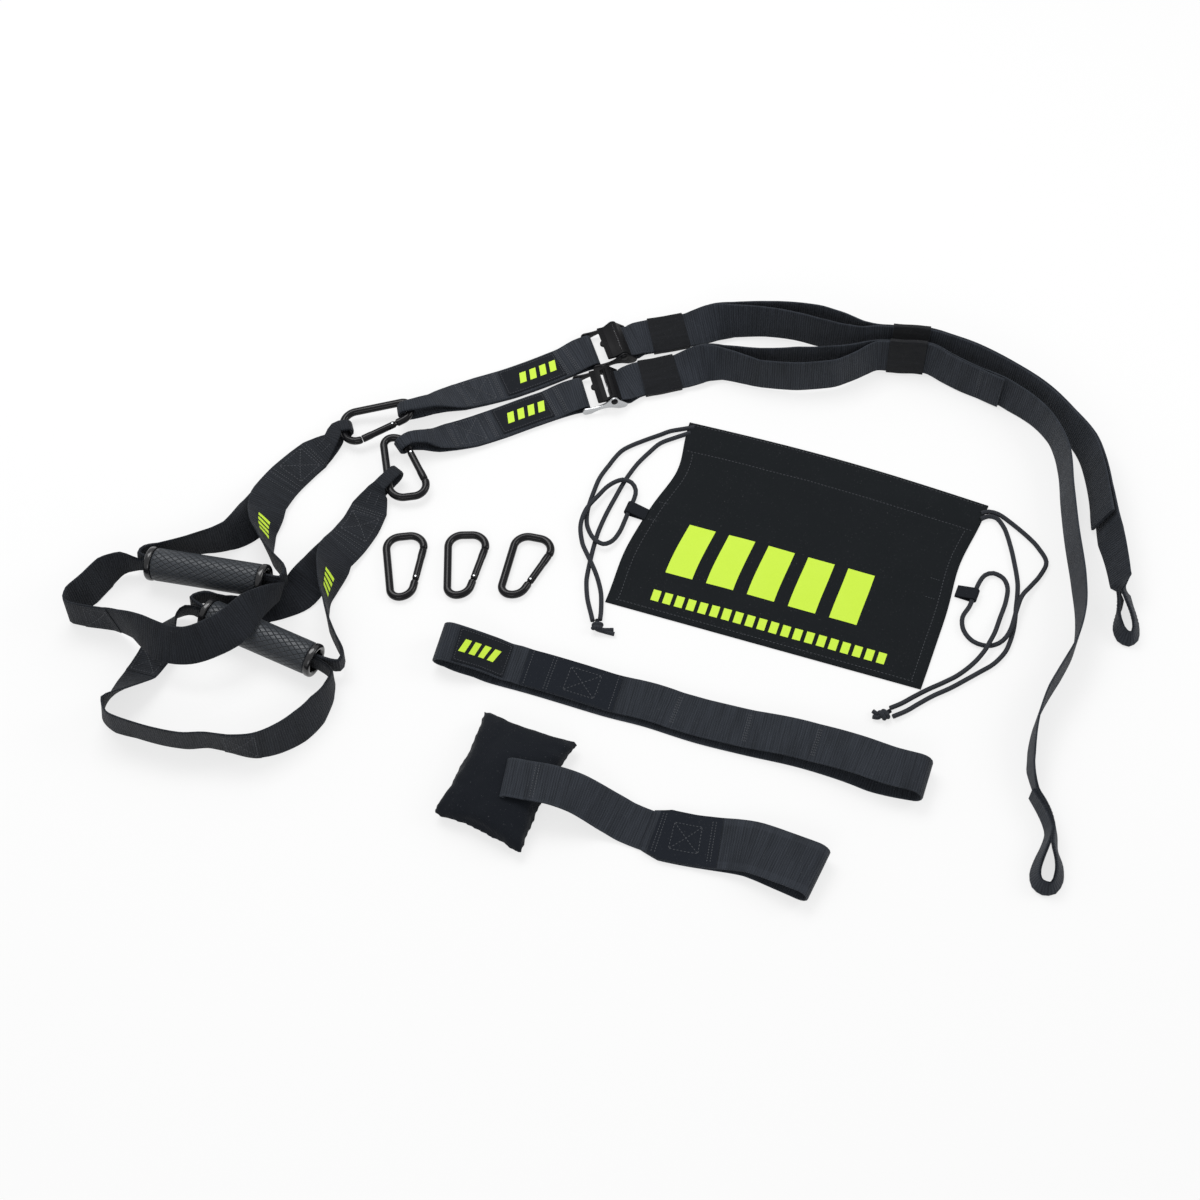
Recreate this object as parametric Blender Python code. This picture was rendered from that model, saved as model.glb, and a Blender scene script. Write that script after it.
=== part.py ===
"""Suspension trainer laid out on a flat surface, modelled in real sizes.

Two adjustable webbing straps with cam buckles hold two handles with foot loops by carabiners.
Beside them lie three spare carabiners, a drawstring bag, a loop anchor strap and a door anchor.
Lengths are in millimetres until a mesh is made. +X is right, +Y is away and +Z is up, and the
surface that everything lies on is z = 0. "Back" is the strap with the larger y.
"""
import math

import bmesh
import bpy
from mathutils import Matrix, Vector

MM = 0.001
UP = Vector((0.0, 0.0, 1.0))

# Driving dimensions
WEB = 38.0                # width of the strap webbing
SKIN = 1.8                # thickness of one layer of webbing
FOLDED = 19.0             # width of the webbing where it is folded in half
FOLD_SKIN = 3.4           # thickness of the folded webbing
PLY = 2.2                 # from the middle of one sewn layer to the middle of the next
GAP = 0.3                 # clearance between pieces that touch
ROD = 3.85                # radius of a carabiner's rod
CARABINER_LENGTH = 69.0   # along its middle line, so 77 mm outside
GRIP_RADIUS = 15.8
GRIP_HALF = 60.0          # half the length of a grip with its end caps
BORE = 11.2               # radius of the hole through a grip
EYE_WIDTH = 13.0          # width of the bunched webbing round a carabiner
DOOR_STRAP = 40.0         # width of the door anchor's strap
DOOR_LOOP = 50.0          # width of its loop
CORD_RADIUS = 2.25        # of the bag's drawcords
LAYOUT_CENTRE = Vector((1.6, 13.5, 0.0))

# The buckles: middle on the ground plan and heading of the strap in degrees
FRONT_BUCKLE = (0.0, 247.0, 14.0)
BACK_BUCKLE = (9.0, 303.0, 17.0)
BAR_Z = 5.4               # height of both bars of a buckle
BAR_RADIUS = 2.6
BAR_X = 19.0              # each bar's distance from the middle of its buckle
BAR_WRAP = BAR_RADIUS + 0.4 + SKIN / 2
PIN_X = 9.5
PIN_Z = 13.6


def clear_scene():
    for old in list(bpy.data.objects):
        bpy.data.objects.remove(old, do_unlink=True)


def material(name, colour, roughness, metallic=0.0):
    made = bpy.data.materials.new(name)
    made.use_nodes = True
    shader = made.node_tree.nodes["Principled BSDF"]
    shader.inputs["Base Color"].default_value = (*colour, 1.0)
    shader.inputs["Roughness"].default_value = roughness
    shader.inputs["Metallic"].default_value = metallic
    made.diffuse_color = (*colour, 1.0)
    return made


def node(name, bm, finish, origin=(0.0, 0.0, 0.0), smooth_angle=35.0):
    """Makes one object from a bmesh in millimetres, with its origin at the given point."""
    start = Vector(origin)
    bmesh.ops.translate(bm, verts=bm.verts, vec=-start)
    bmesh.ops.scale(bm, verts=bm.verts, vec=(MM, MM, MM))
    bmesh.ops.recalc_face_normals(bm, faces=bm.faces)
    mesh = bpy.data.meshes.new(name)
    bm.to_mesh(mesh)
    bm.free()
    mesh.shade_smooth()
    mesh.set_sharp_from_angle(angle=math.radians(smooth_angle))
    mesh.materials.append(finish)
    made = bpy.data.objects.new(name, mesh)
    made.location = start * MM
    made.parent = layout
    bpy.context.scene.collection.objects.link(made)
    return made


# Webbing

def run(points):
    """Lays a strap on the surface along hand-chosen points.

    A point is (x, y, lean, width, gap, lift): lean is 0 flat and 90 on edge, gap is the distance
    between the middles of the two layers there, and lift is the height under the strap.
    """
    plan = [(Vector((x, y, lift)), lean, width, gap) for x, y, lean, width, gap, lift in points]
    placed = smooth(plan, False, 12.0)
    last = len(placed) - 1
    laid = []
    for i, (point, lean, width, gap) in enumerate(placed):
        along = placed[min(i + 1, last)][0] - placed[max(i - 1, 0)][0]
        along.z = 0.0
        along.normalize()
        angle = math.radians(lean)
        across = UP.cross(along) * math.cos(angle) + UP * math.sin(angle)
        rise = width / 2 * abs(math.sin(angle)) + (gap + SKIN) / 2 * abs(math.cos(angle))
        height = max(point.z, 0.0) + 0.1 + rise
        laid.append((Vector((point.x, point.y, height)), across, width, gap))
    return frames(laid, False)


def layer(placed, side, thick=SKIN):
    """One layer of a laid strap: side is 1 for the top, -1 for the underside, 0 for the middle."""
    return [(point + normal * (gap / 2 * side), across, width, thick)
            for point, across, normal, width, gap in placed]


def thicker(knots, thick, count, at_end=True):
    """The same knots with the last or the first few of them at another thickness."""
    changed = []
    for i, (point, across, width, old) in enumerate(knots):
        inside = i >= len(knots) - count if at_end else i < count
        changed.append((point, across, width, thick if inside else old))
    return changed


def turn(centre, outward, across, radius, width, thick, start=-90.0, stop=90.0, steps=8):
    """Knots round a bar: outward is the side that the webbing goes round, from below to above."""
    rise = across.cross(outward).normalized()
    if rise.z < 0:
        rise = -rise
    knots = []
    for i in range(steps + 1):
        angle = math.radians(start + (stop - start) * i / steps)
        reach = outward * math.cos(angle) + rise * math.sin(angle)
        knots.append((centre + reach * radius, across, width, thick))
    return knots


def smooth(knots, ring, pitch):
    """Reads stations from a smooth curve through the knots, about one pitch apart."""
    count = len(knots)
    points = [knot[0] for knot in knots]

    def neighbour(i):
        return points[i % count] if ring else points[min(max(i, 0), count - 1)]

    def heading(i):
        before, after = neighbour(i - 1), neighbour(i + 1)
        span = (points[i % count] - before).length + (after - points[i % count]).length
        return (after - before) / span

    stations = []
    for i in range(count if ring else count - 1):
        start, end = knots[i], knots[(i + 1) % count]
        length = (end[0] - start[0]).length
        steps = max(1, round(length / pitch))
        for j in range(steps):
            u = j / steps
            u2, u3 = u * u, u * u * u
            point = (start[0] * (2 * u3 - 3 * u2 + 1) + end[0] * (3 * u2 - 2 * u3)
                     + heading(i) * (length * (u3 - 2 * u2 + u))
                     + heading(i + 1) * (length * (u3 - u2)))
            stations.append((point, *(start[k] * (1 - u) + end[k] * u for k in (1, 2, 3))))
    if not ring:
        stations.append(knots[-1])
    return stations


def frames(stations, ring):
    """Adds the square normal of the webbing to each station."""
    count = len(stations)
    framed = []
    for i, (point, across, width, thick) in enumerate(stations):
        before = stations[i - 1][0] if ring or i else point
        after = stations[(i + 1) % count][0] if ring or i < count - 1 else point
        along = (after - before).normalized()
        across = (across - along * across.dot(along)).normalized()
        framed.append((point, across, along.cross(across), width, thick))
    return framed


def ribbon(name, knots, finish, ring=False, pitch=13.0):
    """A flat strap of webbing along its knots, closed on itself if it is a ring."""
    stations = frames(smooth(knots, ring, pitch), ring)
    bm = bmesh.new()
    loops = []
    for point, across, normal, width, thick in stations:
        side, rise = across * (width / 2), normal * (thick / 2)
        corners = (side + rise, rise - side, -side - rise, side - rise)
        loops.append([bm.verts.new(point + corner) for corner in corners])
    skin_between(bm, loops, ring, True)
    return node(name, bm, finish)


def skin_between(bm, loops, ring, split=False):
    """Faces between sections. A split one is halved alike on both sides, so that twists stay thin."""
    count = len(loops)
    sides = len(loops[0])
    for i in range(count if ring else count - 1):
        first, second = loops[i], loops[(i + 1) % count]
        step = first[0].co + first[2].co - second[0].co - second[2].co
        lead = step.x + 0.37 * step.y > 0
        for k in range(sides):
            following = (k + 1) % sides
            a, b, c, d = first[k], first[following], second[following], second[k]
            if not split:
                bm.faces.new((a, b, c, d))
            elif lead == (k == 0):
                bm.faces.new((a, b, c))
                bm.faces.new((a, c, d))
            else:
                bm.faces.new((a, b, d))
                bm.faces.new((b, c, d))
    if not ring:
        bm.faces.new(tuple(reversed(loops[0])))
        bm.faces.new(tuple(loops[-1]))


def stretch(stations, start, stop):
    """The stations of a strap between two distances along it, with one more at either end."""
    picked = []
    travelled = 0.0
    for first, second in zip(stations, stations[1:]):
        length = (second[0] - first[0]).length
        for mark in (start, stop):
            if travelled <= mark < travelled + length:
                u = (mark - travelled) / length
                picked.append(tuple(first[k] * (1 - u) + second[k] * u for k in range(4)))
        travelled += length
        if start + 1.5 < travelled < stop - 1.5:
            picked.append(second[:4])
    return picked


def label(name, stations, start, stop, width, finish):
    """A woven label lying on the top layer of a strap."""
    thick = 0.7
    raised = []
    for point, across, normal, _, skin in frames(stretch(stations, start, stop), False):
        toward = normal if normal.z > 0 else -normal
        raised.append((point + toward * (skin / 2 + GAP + thick / 2), across, width, thick))
    return ribbon(name, raised, finish)


def keeper(name, stations, start, stop, finish):
    """An elastic band round both layers of a strap."""
    wall = 1.0
    inside = (WEB / 2 + 0.7, PLY / 2 + SKIN / 2 + 0.5)
    outside = (inside[0] + wall, inside[1] + wall)
    bm = bmesh.new()
    rings = {"in": [], "out": []}
    for point, across, normal, _, _ in frames(stretch(stations, start, stop), False):
        for key, (half, rise) in (("in", inside), ("out", outside)):
            ease = wall * 0.7
            outline = ((half, rise - ease), (half - ease, rise), (ease - half, rise),
                       (-half, rise - ease), (-half, ease - rise), (ease - half, -rise),
                       (half - ease, -rise), (half, ease - rise))
            rings[key].append([bm.verts.new(point + across * a + normal * b) for a, b in outline])
    count = len(rings["in"])
    for i in range(count - 1):
        for k in range(8):
            n = (k + 1) % 8
            for key in ("in", "out"):
                first, second = rings[key][i], rings[key][i + 1]
                bm.faces.new((first[k], first[n], second[n], second[k]))
    for i in (0, count - 1):
        for k in range(8):
            n = (k + 1) % 8
            bm.faces.new((rings["in"][i][k], rings["in"][i][n],
                          rings["out"][i][n], rings["out"][i][k]))
    return node(name, bm, finish)


# Solids joined or cut by one another

def mesh_object(bm):
    bmesh.ops.recalc_face_normals(bm, faces=bm.faces)
    mesh = bpy.data.meshes.new("shape")
    bm.to_mesh(mesh)
    bm.free()
    made = bpy.data.objects.new("shape", mesh)
    bpy.context.scene.collection.objects.link(made)
    return made


def combine(base, others, operation):
    """Unites a bmesh with others, or cuts them out of it, and returns the result as a bmesh."""
    solid = mesh_object(base)
    tools = [mesh_object(other) for other in others]
    for tool in tools:
        step = solid.modifiers.new("step", "BOOLEAN")
        step.operation = operation
        step.object = tool
    evaluated = solid.evaluated_get(bpy.context.evaluated_depsgraph_get())
    result = bmesh.new()
    result.from_mesh(evaluated.to_mesh())
    evaluated.to_mesh_clear()
    for used in [solid, *tools]:
        bpy.data.objects.remove(used, do_unlink=True)
    bmesh.ops.remove_doubles(result, verts=result.verts, dist=0.002)
    return result


def rod(start, end, radius, sides=16):
    """A plain round bar between two points."""
    start, end = Vector(start), Vector(end)
    bm = bmesh.new()
    bmesh.ops.create_cone(bm, cap_ends=True, segments=sides, radius1=radius, radius2=radius,
                          depth=(end - start).length)
    spin = UP.rotation_difference(end - start).to_matrix().to_4x4()
    bmesh.ops.transform(bm, verts=bm.verts, matrix=Matrix.Translation((start + end) / 2) @ spin)
    return bm


def block(low, high):
    bm = bmesh.new()
    bmesh.ops.create_cube(bm, size=1.0)
    low, high = Vector(low), Vector(high)
    bmesh.ops.scale(bm, verts=bm.verts, vec=high - low)
    bmesh.ops.translate(bm, verts=bm.verts, vec=(low + high) / 2)
    return bm


def plate(outline, low, high):
    """Extrudes an outline in X and Z along Y."""
    bm = bmesh.new()
    face = bm.faces.new([bm.verts.new((x, low, z)) for x, z in outline])
    grown = bmesh.ops.extrude_face_region(bm, geom=[face])
    moved = [item for item in grown["geom"] if isinstance(item, bmesh.types.BMVert)]
    bmesh.ops.translate(bm, verts=moved, vec=(0.0, high - low, 0.0))
    return bm


def turned(profile, steps):
    """Revolves a closed profile of (x, radius) points about the X axis."""
    bm = bmesh.new()
    verts = [bm.verts.new((x, 0.0, radius)) for x, radius in profile]
    edges = [bm.edges.new((a, b)) for a, b in zip(verts, verts[1:] + verts[:1])]
    bmesh.ops.spin(bm, geom=edges, cent=(0, 0, 0), axis=(1, 0, 0), steps=steps,
                   angle=math.tau, use_merge=True)
    bmesh.ops.remove_doubles(bm, verts=bm.verts, dist=0.002)
    return bm


def arc(centre, radius, start, stop, steps):
    """Points on an arc in a plane, the two ends included."""
    angles = [math.radians(start + (stop - start) * i / steps) for i in range(steps + 1)]
    return [(centre[0] + radius * math.cos(a), centre[1] + radius * math.sin(a)) for a in angles]


# Cam buckles

def buckle_place(spot):
    x, y, heading = spot
    return Matrix.Translation((x, y, 0.0)) @ Matrix.Rotation(math.radians(heading), 4, "Z")


def side_plate_outline():
    """Low at the strap's bar, and rising to a round ear about the pin."""
    ear = arc((PIN_X, PIN_Z), 5.6, 118, 20, 6)
    foot = arc((BAR_X, BAR_Z), 4.6, 20, -90, 5)
    nose = arc((-BAR_X, BAR_Z), 4.6, -90, -235, 6)
    return ear + foot + nose


def cam_outline():
    """The lever in profile: thumb plate, round boss and an eccentric cam with teeth."""
    teeth = []
    count = 6
    for i in range(count):
        for part, reach in ((0.0, 0.0), (0.5, -0.9)):
            angle = -6 - (i + part) * 8.0
            radius = 8.2 - max(0.0, -angle - 24) * 0.085 + reach
            teeth.append((PIN_X + radius * math.cos(math.radians(angle)),
                          PIN_Z + radius * math.sin(math.radians(angle))))
    boss = arc((PIN_X, PIN_Z), 5.4, 100, 14, 5)
    heel = arc((PIN_X, PIN_Z), 4.4, -70, -140, 4)
    thumb = [(PIN_X - 9.0, PIN_Z - 0.9), (PIN_X - 15.0, PIN_Z - 1.2), (PIN_X - 16.4, PIN_Z + 0.2),
             (PIN_X - 16.0, PIN_Z + 1.8), (PIN_X - 9.0, PIN_Z + 1.9), (PIN_X - 5.0, PIN_Z + 3.2)]
    return boss + teeth + heel + thumb


def cam_spring():
    """A torsion spring of three turns round the pin, with a leg to each side."""
    turns, per_turn, wire, radius, pitch = 3, 10, 0.4, 3.0, 1.5
    points = []
    for i in range(turns * per_turn + 1):
        angle = math.tau * i / per_turn
        points.append((PIN_X + radius * math.cos(angle), (i / per_turn - turns / 2) * pitch,
                       PIN_Z + radius * math.sin(angle)))
    return tube_mesh([Vector(p) for p in points], wire, 6)


def tube_mesh(points, radius, sides):
    """A round tube along points, with its section carried on without twist."""
    bm = bmesh.new()
    loops = []
    across = None
    for i, point in enumerate(points):
        along = (points[min(i + 1, len(points) - 1)] - points[max(i - 1, 0)]).normalized()
        guide = across if across else (UP if abs(along.z) < 0.9 else Vector((1, 0, 0)))
        across = (guide - along * guide.dot(along)).normalized()
        rise = along.cross(across)
        loops.append([bm.verts.new(point + across * (radius * math.cos(math.tau * k / sides))
                                   + rise * (radius * math.sin(math.tau * k / sides)))
                      for k in range(sides)])
    skin_between(bm, loops, False)
    return bm


def cam_buckle(side, spot, steel):
    """Frame, lever, pin and spring of one buckle."""
    place = buckle_place(spot)
    pivot = place @ Vector((PIN_X, 0.0, PIN_Z))
    inner, outer = 20.6, 22.4
    bars = [rod((x, -21.6, BAR_Z), (x, 21.6, BAR_Z), BAR_RADIUS, 12) for x in (-BAR_X, BAR_X)]
    far_plate = plate(side_plate_outline(), inner, outer)
    near_plate = plate(side_plate_outline(), -outer, -inner)
    frame = combine(far_plate, [near_plate, *bars], "UNION")
    hole = rod((PIN_X, -30, PIN_Z), (PIN_X, 30, PIN_Z), 2.3, 12)
    frame = combine(frame, [hole], "DIFFERENCE")

    lever = plate(cam_outline(), -inner + 0.6, inner - 0.6)
    bore = rod((PIN_X, -30, PIN_Z), (PIN_X, 30, PIN_Z), 2.3, 12)
    pocket = rod((PIN_X, -4.2, PIN_Z), (PIN_X, 4.2, PIN_Z), 3.9, 14)
    mouth = block((PIN_X - 3.2, -4.2, PIN_Z - 12), (PIN_X + 3.2, 4.2, PIN_Z - 1))
    lever = combine(lever, [bore, pocket, mouth], "DIFFERENCE")

    head = outer + GAP
    pin = combine(rod((PIN_X, -head - 0.6, PIN_Z), (PIN_X, head + 0.6, PIN_Z), 2.0, 12),
                  [rod((PIN_X, end * head, PIN_Z), (PIN_X, end * (head + 1.3), PIN_Z), 3.4, 12)
                   for end in (-1, 1)], "UNION")
    for name, shape, finish in (("frame", frame, steel), ("lever", lever, black_steel),
                                ("pin", pin, steel), ("spring", cam_spring(), spring_steel)):
        bmesh.ops.transform(shape, verts=shape.verts, matrix=place)
        node(f"{side}_buckle_{name}", shape, finish, pivot if name == "lever" else (0, 0, 0))


# Straps

def strap_pair(spot, points):
    """The stretch of a main strap with its tail on top, from the buckle's bar outwards."""
    place = buckle_place(spot)
    start = place @ Vector((BAR_X, 0.0, 0.0))
    leave = place @ Vector((BAR_X + 6.0, 0.0, 0.0))
    clear = BAR_Z - BAR_WRAP - SKIN / 2
    first = [(start.x, start.y, 0, WEB, 2 * BAR_WRAP, clear),
             (leave.x, leave.y, 0, WEB, 2 * BAR_WRAP - 0.8, clear)]
    return run(first + points)


def main_strap(side, spot, pair_points, rest_points, eye, keepers):
    """One webbing: anchor eye, long run, turn round the buckle's bar and tail on top."""
    place = buckle_place(spot)
    heading = (place @ Vector((1, 0, 0, 0))).to_3d()
    across = UP.cross(heading)
    centre = place @ Vector((BAR_X, 0.0, BAR_Z))
    pair = strap_pair(spot, pair_points)
    rest = run([pair_points[-1], *rest_points])[1:]
    bend = turn(centre, -heading, across, BAR_WRAP, WEB, SKIN)
    tail = thicker(layer(pair, 1)[1:], FOLD_SKIN, 2)
    under = layer(pair, -1)[1:] + layer(rest, -1)
    path = anchor_eye(eye) + list(reversed(under)) + bend + tail
    ribbon(f"{side}_main_strap", path, webbing)
    middle = layer(pair, 0)
    for where, start in keepers:
        keeper(f"{side}_keeper_{where}", middle, start, start + 37.0, elastic)


def anchor_eye(points):
    """The folded end of a main strap: back along its neck, then round the loop, on edge."""
    return layer(run([(x, y, lean, width, 0.0, lift) for x, y, lean, width, lift in points]),
                 0, FOLD_SKIN)


def short_strap(side, spot, points, hold, label_from):
    """The sewn strap from a buckle's bar to the eye that holds a carabiner, as one closed band."""
    place = buckle_place(spot)
    heading = (place @ Vector((1, 0, 0, 0))).to_3d()
    across = UP.cross(-heading)
    bar = place @ Vector((-BAR_X, 0.0, 0.0))
    clear = BAR_Z - BAR_WRAP - SKIN / 2
    body = run([(bar.x, bar.y, 0, WEB, 2 * BAR_WRAP, clear), *points])
    hold = eye_turn(hold, body[-1][1])
    bend = turn(bar + UP * BAR_Z, heading, across, BAR_WRAP, WEB, SKIN)
    under = thicker(layer(body, -1)[1:], FOLD_SKIN, 1)
    top = thicker(layer(body, 1)[1:], FOLD_SKIN, 1)
    ribbon(f"{side}_short_strap", bend[::-1] + under + hold + top[::-1], webbing, ring=True)
    label(f"{side}_label", layer(body, 1), label_from, label_from + 40.0,
          30.0, black_fabric)


def hold_on(hook, corner, angle, depth, leg=8.0, slack=0.55):
    """Where webbing passes round a carabiner's rod: its turn's middle, way in and width line."""
    out = Vector((math.cos(math.radians(angle)), math.sin(math.radians(angle)), 0.0))
    centre = hook @ (Vector((*corner, 0.0)) + out * depth)
    spin = hook.to_3x3()
    return centre, spin @ -out, spin @ Vector((-out.y, out.x, 0.0)), leg, slack


def eye_turn(hold, like):
    """Webbing round a carabiner's rod with its two short legs, from below the rod to above it."""
    centre, inward, across, leg, slack = hold
    if across.dot(like) < 0:
        across = -across
    radius = ROD + slack + FOLD_SKIN / 2
    bend = turn(centre, inward, across, radius, EYE_WIDTH, FOLD_SKIN, -90, 90, 6)
    legs = [(knot[0] - inward * leg, across, EYE_WIDTH + 1, FOLD_SKIN)
            for knot in (bend[0], bend[-1])]
    return [legs[0], *bend, legs[1]]


# Carabiners

def carabiner_outline():
    """Middle line of the body from the gate's pivot round to the nose, and the gate's heading."""
    slope = 0.31
    base = 19.2
    gate = Vector((slope, 1.0)).normalized()
    tilt = math.degrees(math.atan(slope))
    pivot = Vector((base + slope * 20.0, 20.0))
    line = [pivot + gate * 2.8, pivot - gate * 4.9, pivot - gate * 5.2]
    narrow_right = arc((8.8, 14.0), 14.0, -tilt, -90, 5)
    narrow_left = arc((8.8, 8.8), 8.8, -90, -180, 4)[1:]
    bow_left = arc((14.0, CARABINER_LENGTH - 14.0), 14.0, 180, 90, 5)
    bow_right = arc((23.0, CARABINER_LENGTH - 13.0), 13.0, 90, -tilt, 6)
    line += [Vector(p) for p in narrow_right + narrow_left + bow_left + bow_right]
    return line, pivot, gate


def bar_along(line, sections, sides):
    """A bar in the XY plane whose section is given at each point as (in plane, thickness)."""
    bm = bmesh.new()
    loops = []
    for i, (point, (half, thick)) in enumerate(zip(line, sections)):
        along = (line[min(i + 1, len(line) - 1)] - line[max(i - 1, 0)]).normalized()
        side = Vector((along.y, -along.x))
        loop = []
        for k in range(sides):
            angle = math.tau * (k + 0.5) / sides
            flat = point + side * (half * math.cos(angle))
            loop.append(bm.verts.new((flat.x, flat.y, thick * math.sin(angle))))
        loops.append(loop)
    skin_between(bm, loops, False)
    return bm


def carabiner(name, place):
    """Body with a tongue and a nose, a forked gate and the pin that it turns on."""
    line, pivot, gate = carabiner_outline()
    sections = [(3.0, 1.3), (3.0, 1.3)] + [(ROD, ROD)] * (len(line) - 2)
    sections[-1] = (ROD * 0.86, ROD * 0.86)
    body = bar_along(line, sections, 10)
    hole = rod((pivot.x, pivot.y, -8), (pivot.x, pivot.y, 8), 1.3, 8)
    body = combine(body, [hole], "DIFFERENCE")

    reach = (line[-1] - pivot).dot(gate)
    marks = ((-2.6, 2.7), (-1.8, 3.3), (reach - 9.0, 3.3), (reach - 4.0, 3.8), (reach - 0.5, 3.6))
    leaf = bar_along([pivot + gate * d for d, _ in marks], [(r, r) for _, r in marks], 10)
    slot = block((-6, -3.6, -1.65), (6, 4.6, 1.65))
    swing = Matrix.Rotation(-math.atan2(gate.x, gate.y), 4, "Z")
    bmesh.ops.transform(slot, verts=slot.verts,
                        matrix=Matrix.Translation((pivot.x, pivot.y, 0)) @ swing)
    bore = rod((pivot.x, pivot.y, -8), (pivot.x, pivot.y, 8), 1.3, 8)
    leaf = combine(leaf, [slot, bore], "DIFFERENCE")
    pin = rod((pivot.x, pivot.y, -3.1), (pivot.x, pivot.y, 3.1), 1.0, 8)

    centre = place @ Vector((pivot.x, pivot.y, 0.0))
    for part, shape, finish in (("body", body, gloss_black), ("gate", leaf, gloss_black),
                                ("gate_pin", pin, steel)):
        bmesh.ops.transform(shape, verts=shape.verts, matrix=place)
        node(f"{name}_{part}", shape, finish, centre if part == "gate" else (0, 0, 0))


def carabiner_place(corner, long_heading, slope, flipped):
    """Frame of a carabiner: its square corner at the narrow end, and where its bow points."""
    angle = math.radians(long_heading)
    rise = math.radians(slope)
    long_axis = Vector((math.cos(angle) * math.cos(rise), math.sin(angle) * math.cos(rise),
                        math.sin(rise)))
    level = UP.cross(long_axis).normalized()
    gate_side = level if flipped else -level
    normal = gate_side.cross(long_axis)
    turn_to = Matrix((gate_side, long_axis, normal)).transposed().to_4x4()
    return Matrix.Translation(corner) @ turn_to


# Handles

def grip_ends(x, y, z, heading, tilt):
    """The two ends of a grip's axis, a little outside its caps: tilt raises the right end."""
    flat = math.cos(math.radians(tilt))
    reach = Vector((math.cos(math.radians(heading)) * flat, math.sin(math.radians(heading)) * flat,
                    math.sin(math.radians(tilt)))) * (GRIP_HALF + 2.5)
    return Vector((x, y, z)) - reach, Vector((x, y, z)) + reach


def grip(side, left, right):
    """The moulded sleeve, the tube inside it and a ring cap on each end, turning on one axis."""
    middle = (left + right) / 2
    spin = Vector((1, 0, 0)).rotation_difference(right - left).to_matrix().to_4x4()
    place = Matrix.Translation(middle) @ spin
    cap_foot = GRIP_HALF - 6.2
    sleeve_end = cap_foot - GAP
    half = [(sleeve_end, 13.3), (sleeve_end, 15.0), (sleeve_end - 1.5, GRIP_RADIUS - 0.1),
            (sleeve_end * 0.45, GRIP_RADIUS)]
    sleeve = turned(half + [(-x, radius) for x, radius in reversed(half)], 24)
    tube_end = cap_foot + 3.7
    core = turned([(-tube_end, BORE), (-tube_end, 13.0), (tube_end, 13.0), (tube_end, BORE)], 24)
    cap = [(cap_foot, 13.3), (cap_foot, 15.6), (cap_foot + 1.2, 16.5), (cap_foot + 4.8, 16.5),
           (GRIP_HALF, 15.2), (GRIP_HALF, 11.8), (cap_foot + 4.0, BORE - 0.2), (cap_foot + 4.0, 13.3)]
    pieces = [("grip_sleeve", sleeve, rubber), ("grip_tube", core, hard_plastic),
              ("end_cap_right", turned(cap, 24), hard_plastic),
              ("end_cap_left", turned([(-x, radius) for x, radius in cap], 24), hard_plastic)]
    for name, shape, finish in pieces:
        bmesh.ops.transform(shape, verts=shape.verts, matrix=place)
        node(f"{side}_{name}", shape, finish, middle)


def hand_strap(side, left, right, neck, eye, right_branch, left_branch):
    """One webbing from the carabiner's eye down both branches and through the grip."""
    inward = (right - left).normalized()
    shift = UP.cross(inward).normalized() * (FOLD_SKIN / 2 + GAP)
    body = run(neck)
    hold = eye_turn(eye, body[0][1])
    top = thicker(layer(body, 1), FOLD_SKIN, 2, False)
    under = thicker(layer(body, -1), FOLD_SKIN, 2, False)
    to_right = thicker(layer(run(right_branch), 0), FOLD_SKIN, 2)
    to_left = thicker(layer(run(left_branch), 0), FOLD_SKIN, 2)
    inside = [(right + shift + inward * d, -UP, FOLDED, FOLD_SKIN) for d in (2.0, -16.0)]
    inside += [(left + shift + inward * d, -UP, FOLDED, FOLD_SKIN) for d in (16.0, -2.0)]
    path = hold + top + to_right + inside + to_left[::-1] + under[::-1]
    ribbon(f"{side}_hand_strap", path, webbing, ring=True)


def foot_loop(side, left, right, points):
    """A closed webbing ring through the grip, long enough to take a foot."""
    inward = (right - left).normalized()
    shift = UP.cross(inward).normalized() * (-FOLD_SKIN / 2 - GAP)
    inside = [(right + shift + inward * d, UP, FOLDED, FOLD_SKIN) for d in (2.0, -16.0)]
    inside += [(left + shift + inward * d, UP, FOLDED, FOLD_SKIN) for d in (16.0, -2.0)]
    around = thicker(thicker(layer(run(points), 0), FOLD_SKIN, 2), FOLD_SKIN, 2, False)
    ribbon(f"{side}_foot_loop", inside + around, webbing, ring=True)


# Bag, loop anchor and door anchor

def between(corners, u, v):
    """A point in a four-sided outline: u runs left to right and v from bottom to top."""
    bottom_left, bottom_right, top_right, top_left = (Vector(c) for c in corners)
    low = bottom_left.lerp(bottom_right, u)
    return low.lerp(top_left.lerp(top_right, u), v)


def pulled_in(corners, u, v, pull):
    """Plan of a cushion whose sides pull in between its corners."""
    drawn_u = 0.5 + (u - 0.5) * (1 - pull[0] * math.sin(math.pi * v))
    drawn_v = 0.5 + (v - 0.5) * (1 - pull[1] * math.sin(math.pi * u))
    return between(corners, drawn_u, drawn_v)


def bag_plan(u, v):
    """Plan of the bag: its upper sides pull in, and its casing bows up between the corners."""
    draw = 0.034 * math.exp(-((v - 0.67) / 0.16) ** 2) * math.sin(math.pi * v)
    bow = 0.034 * math.sin(math.pi * u) * v ** 3
    return between(BAG, u + draw * (1 - 2 * u), v + bow - 0.008 * (1 - v) ** 3)


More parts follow.
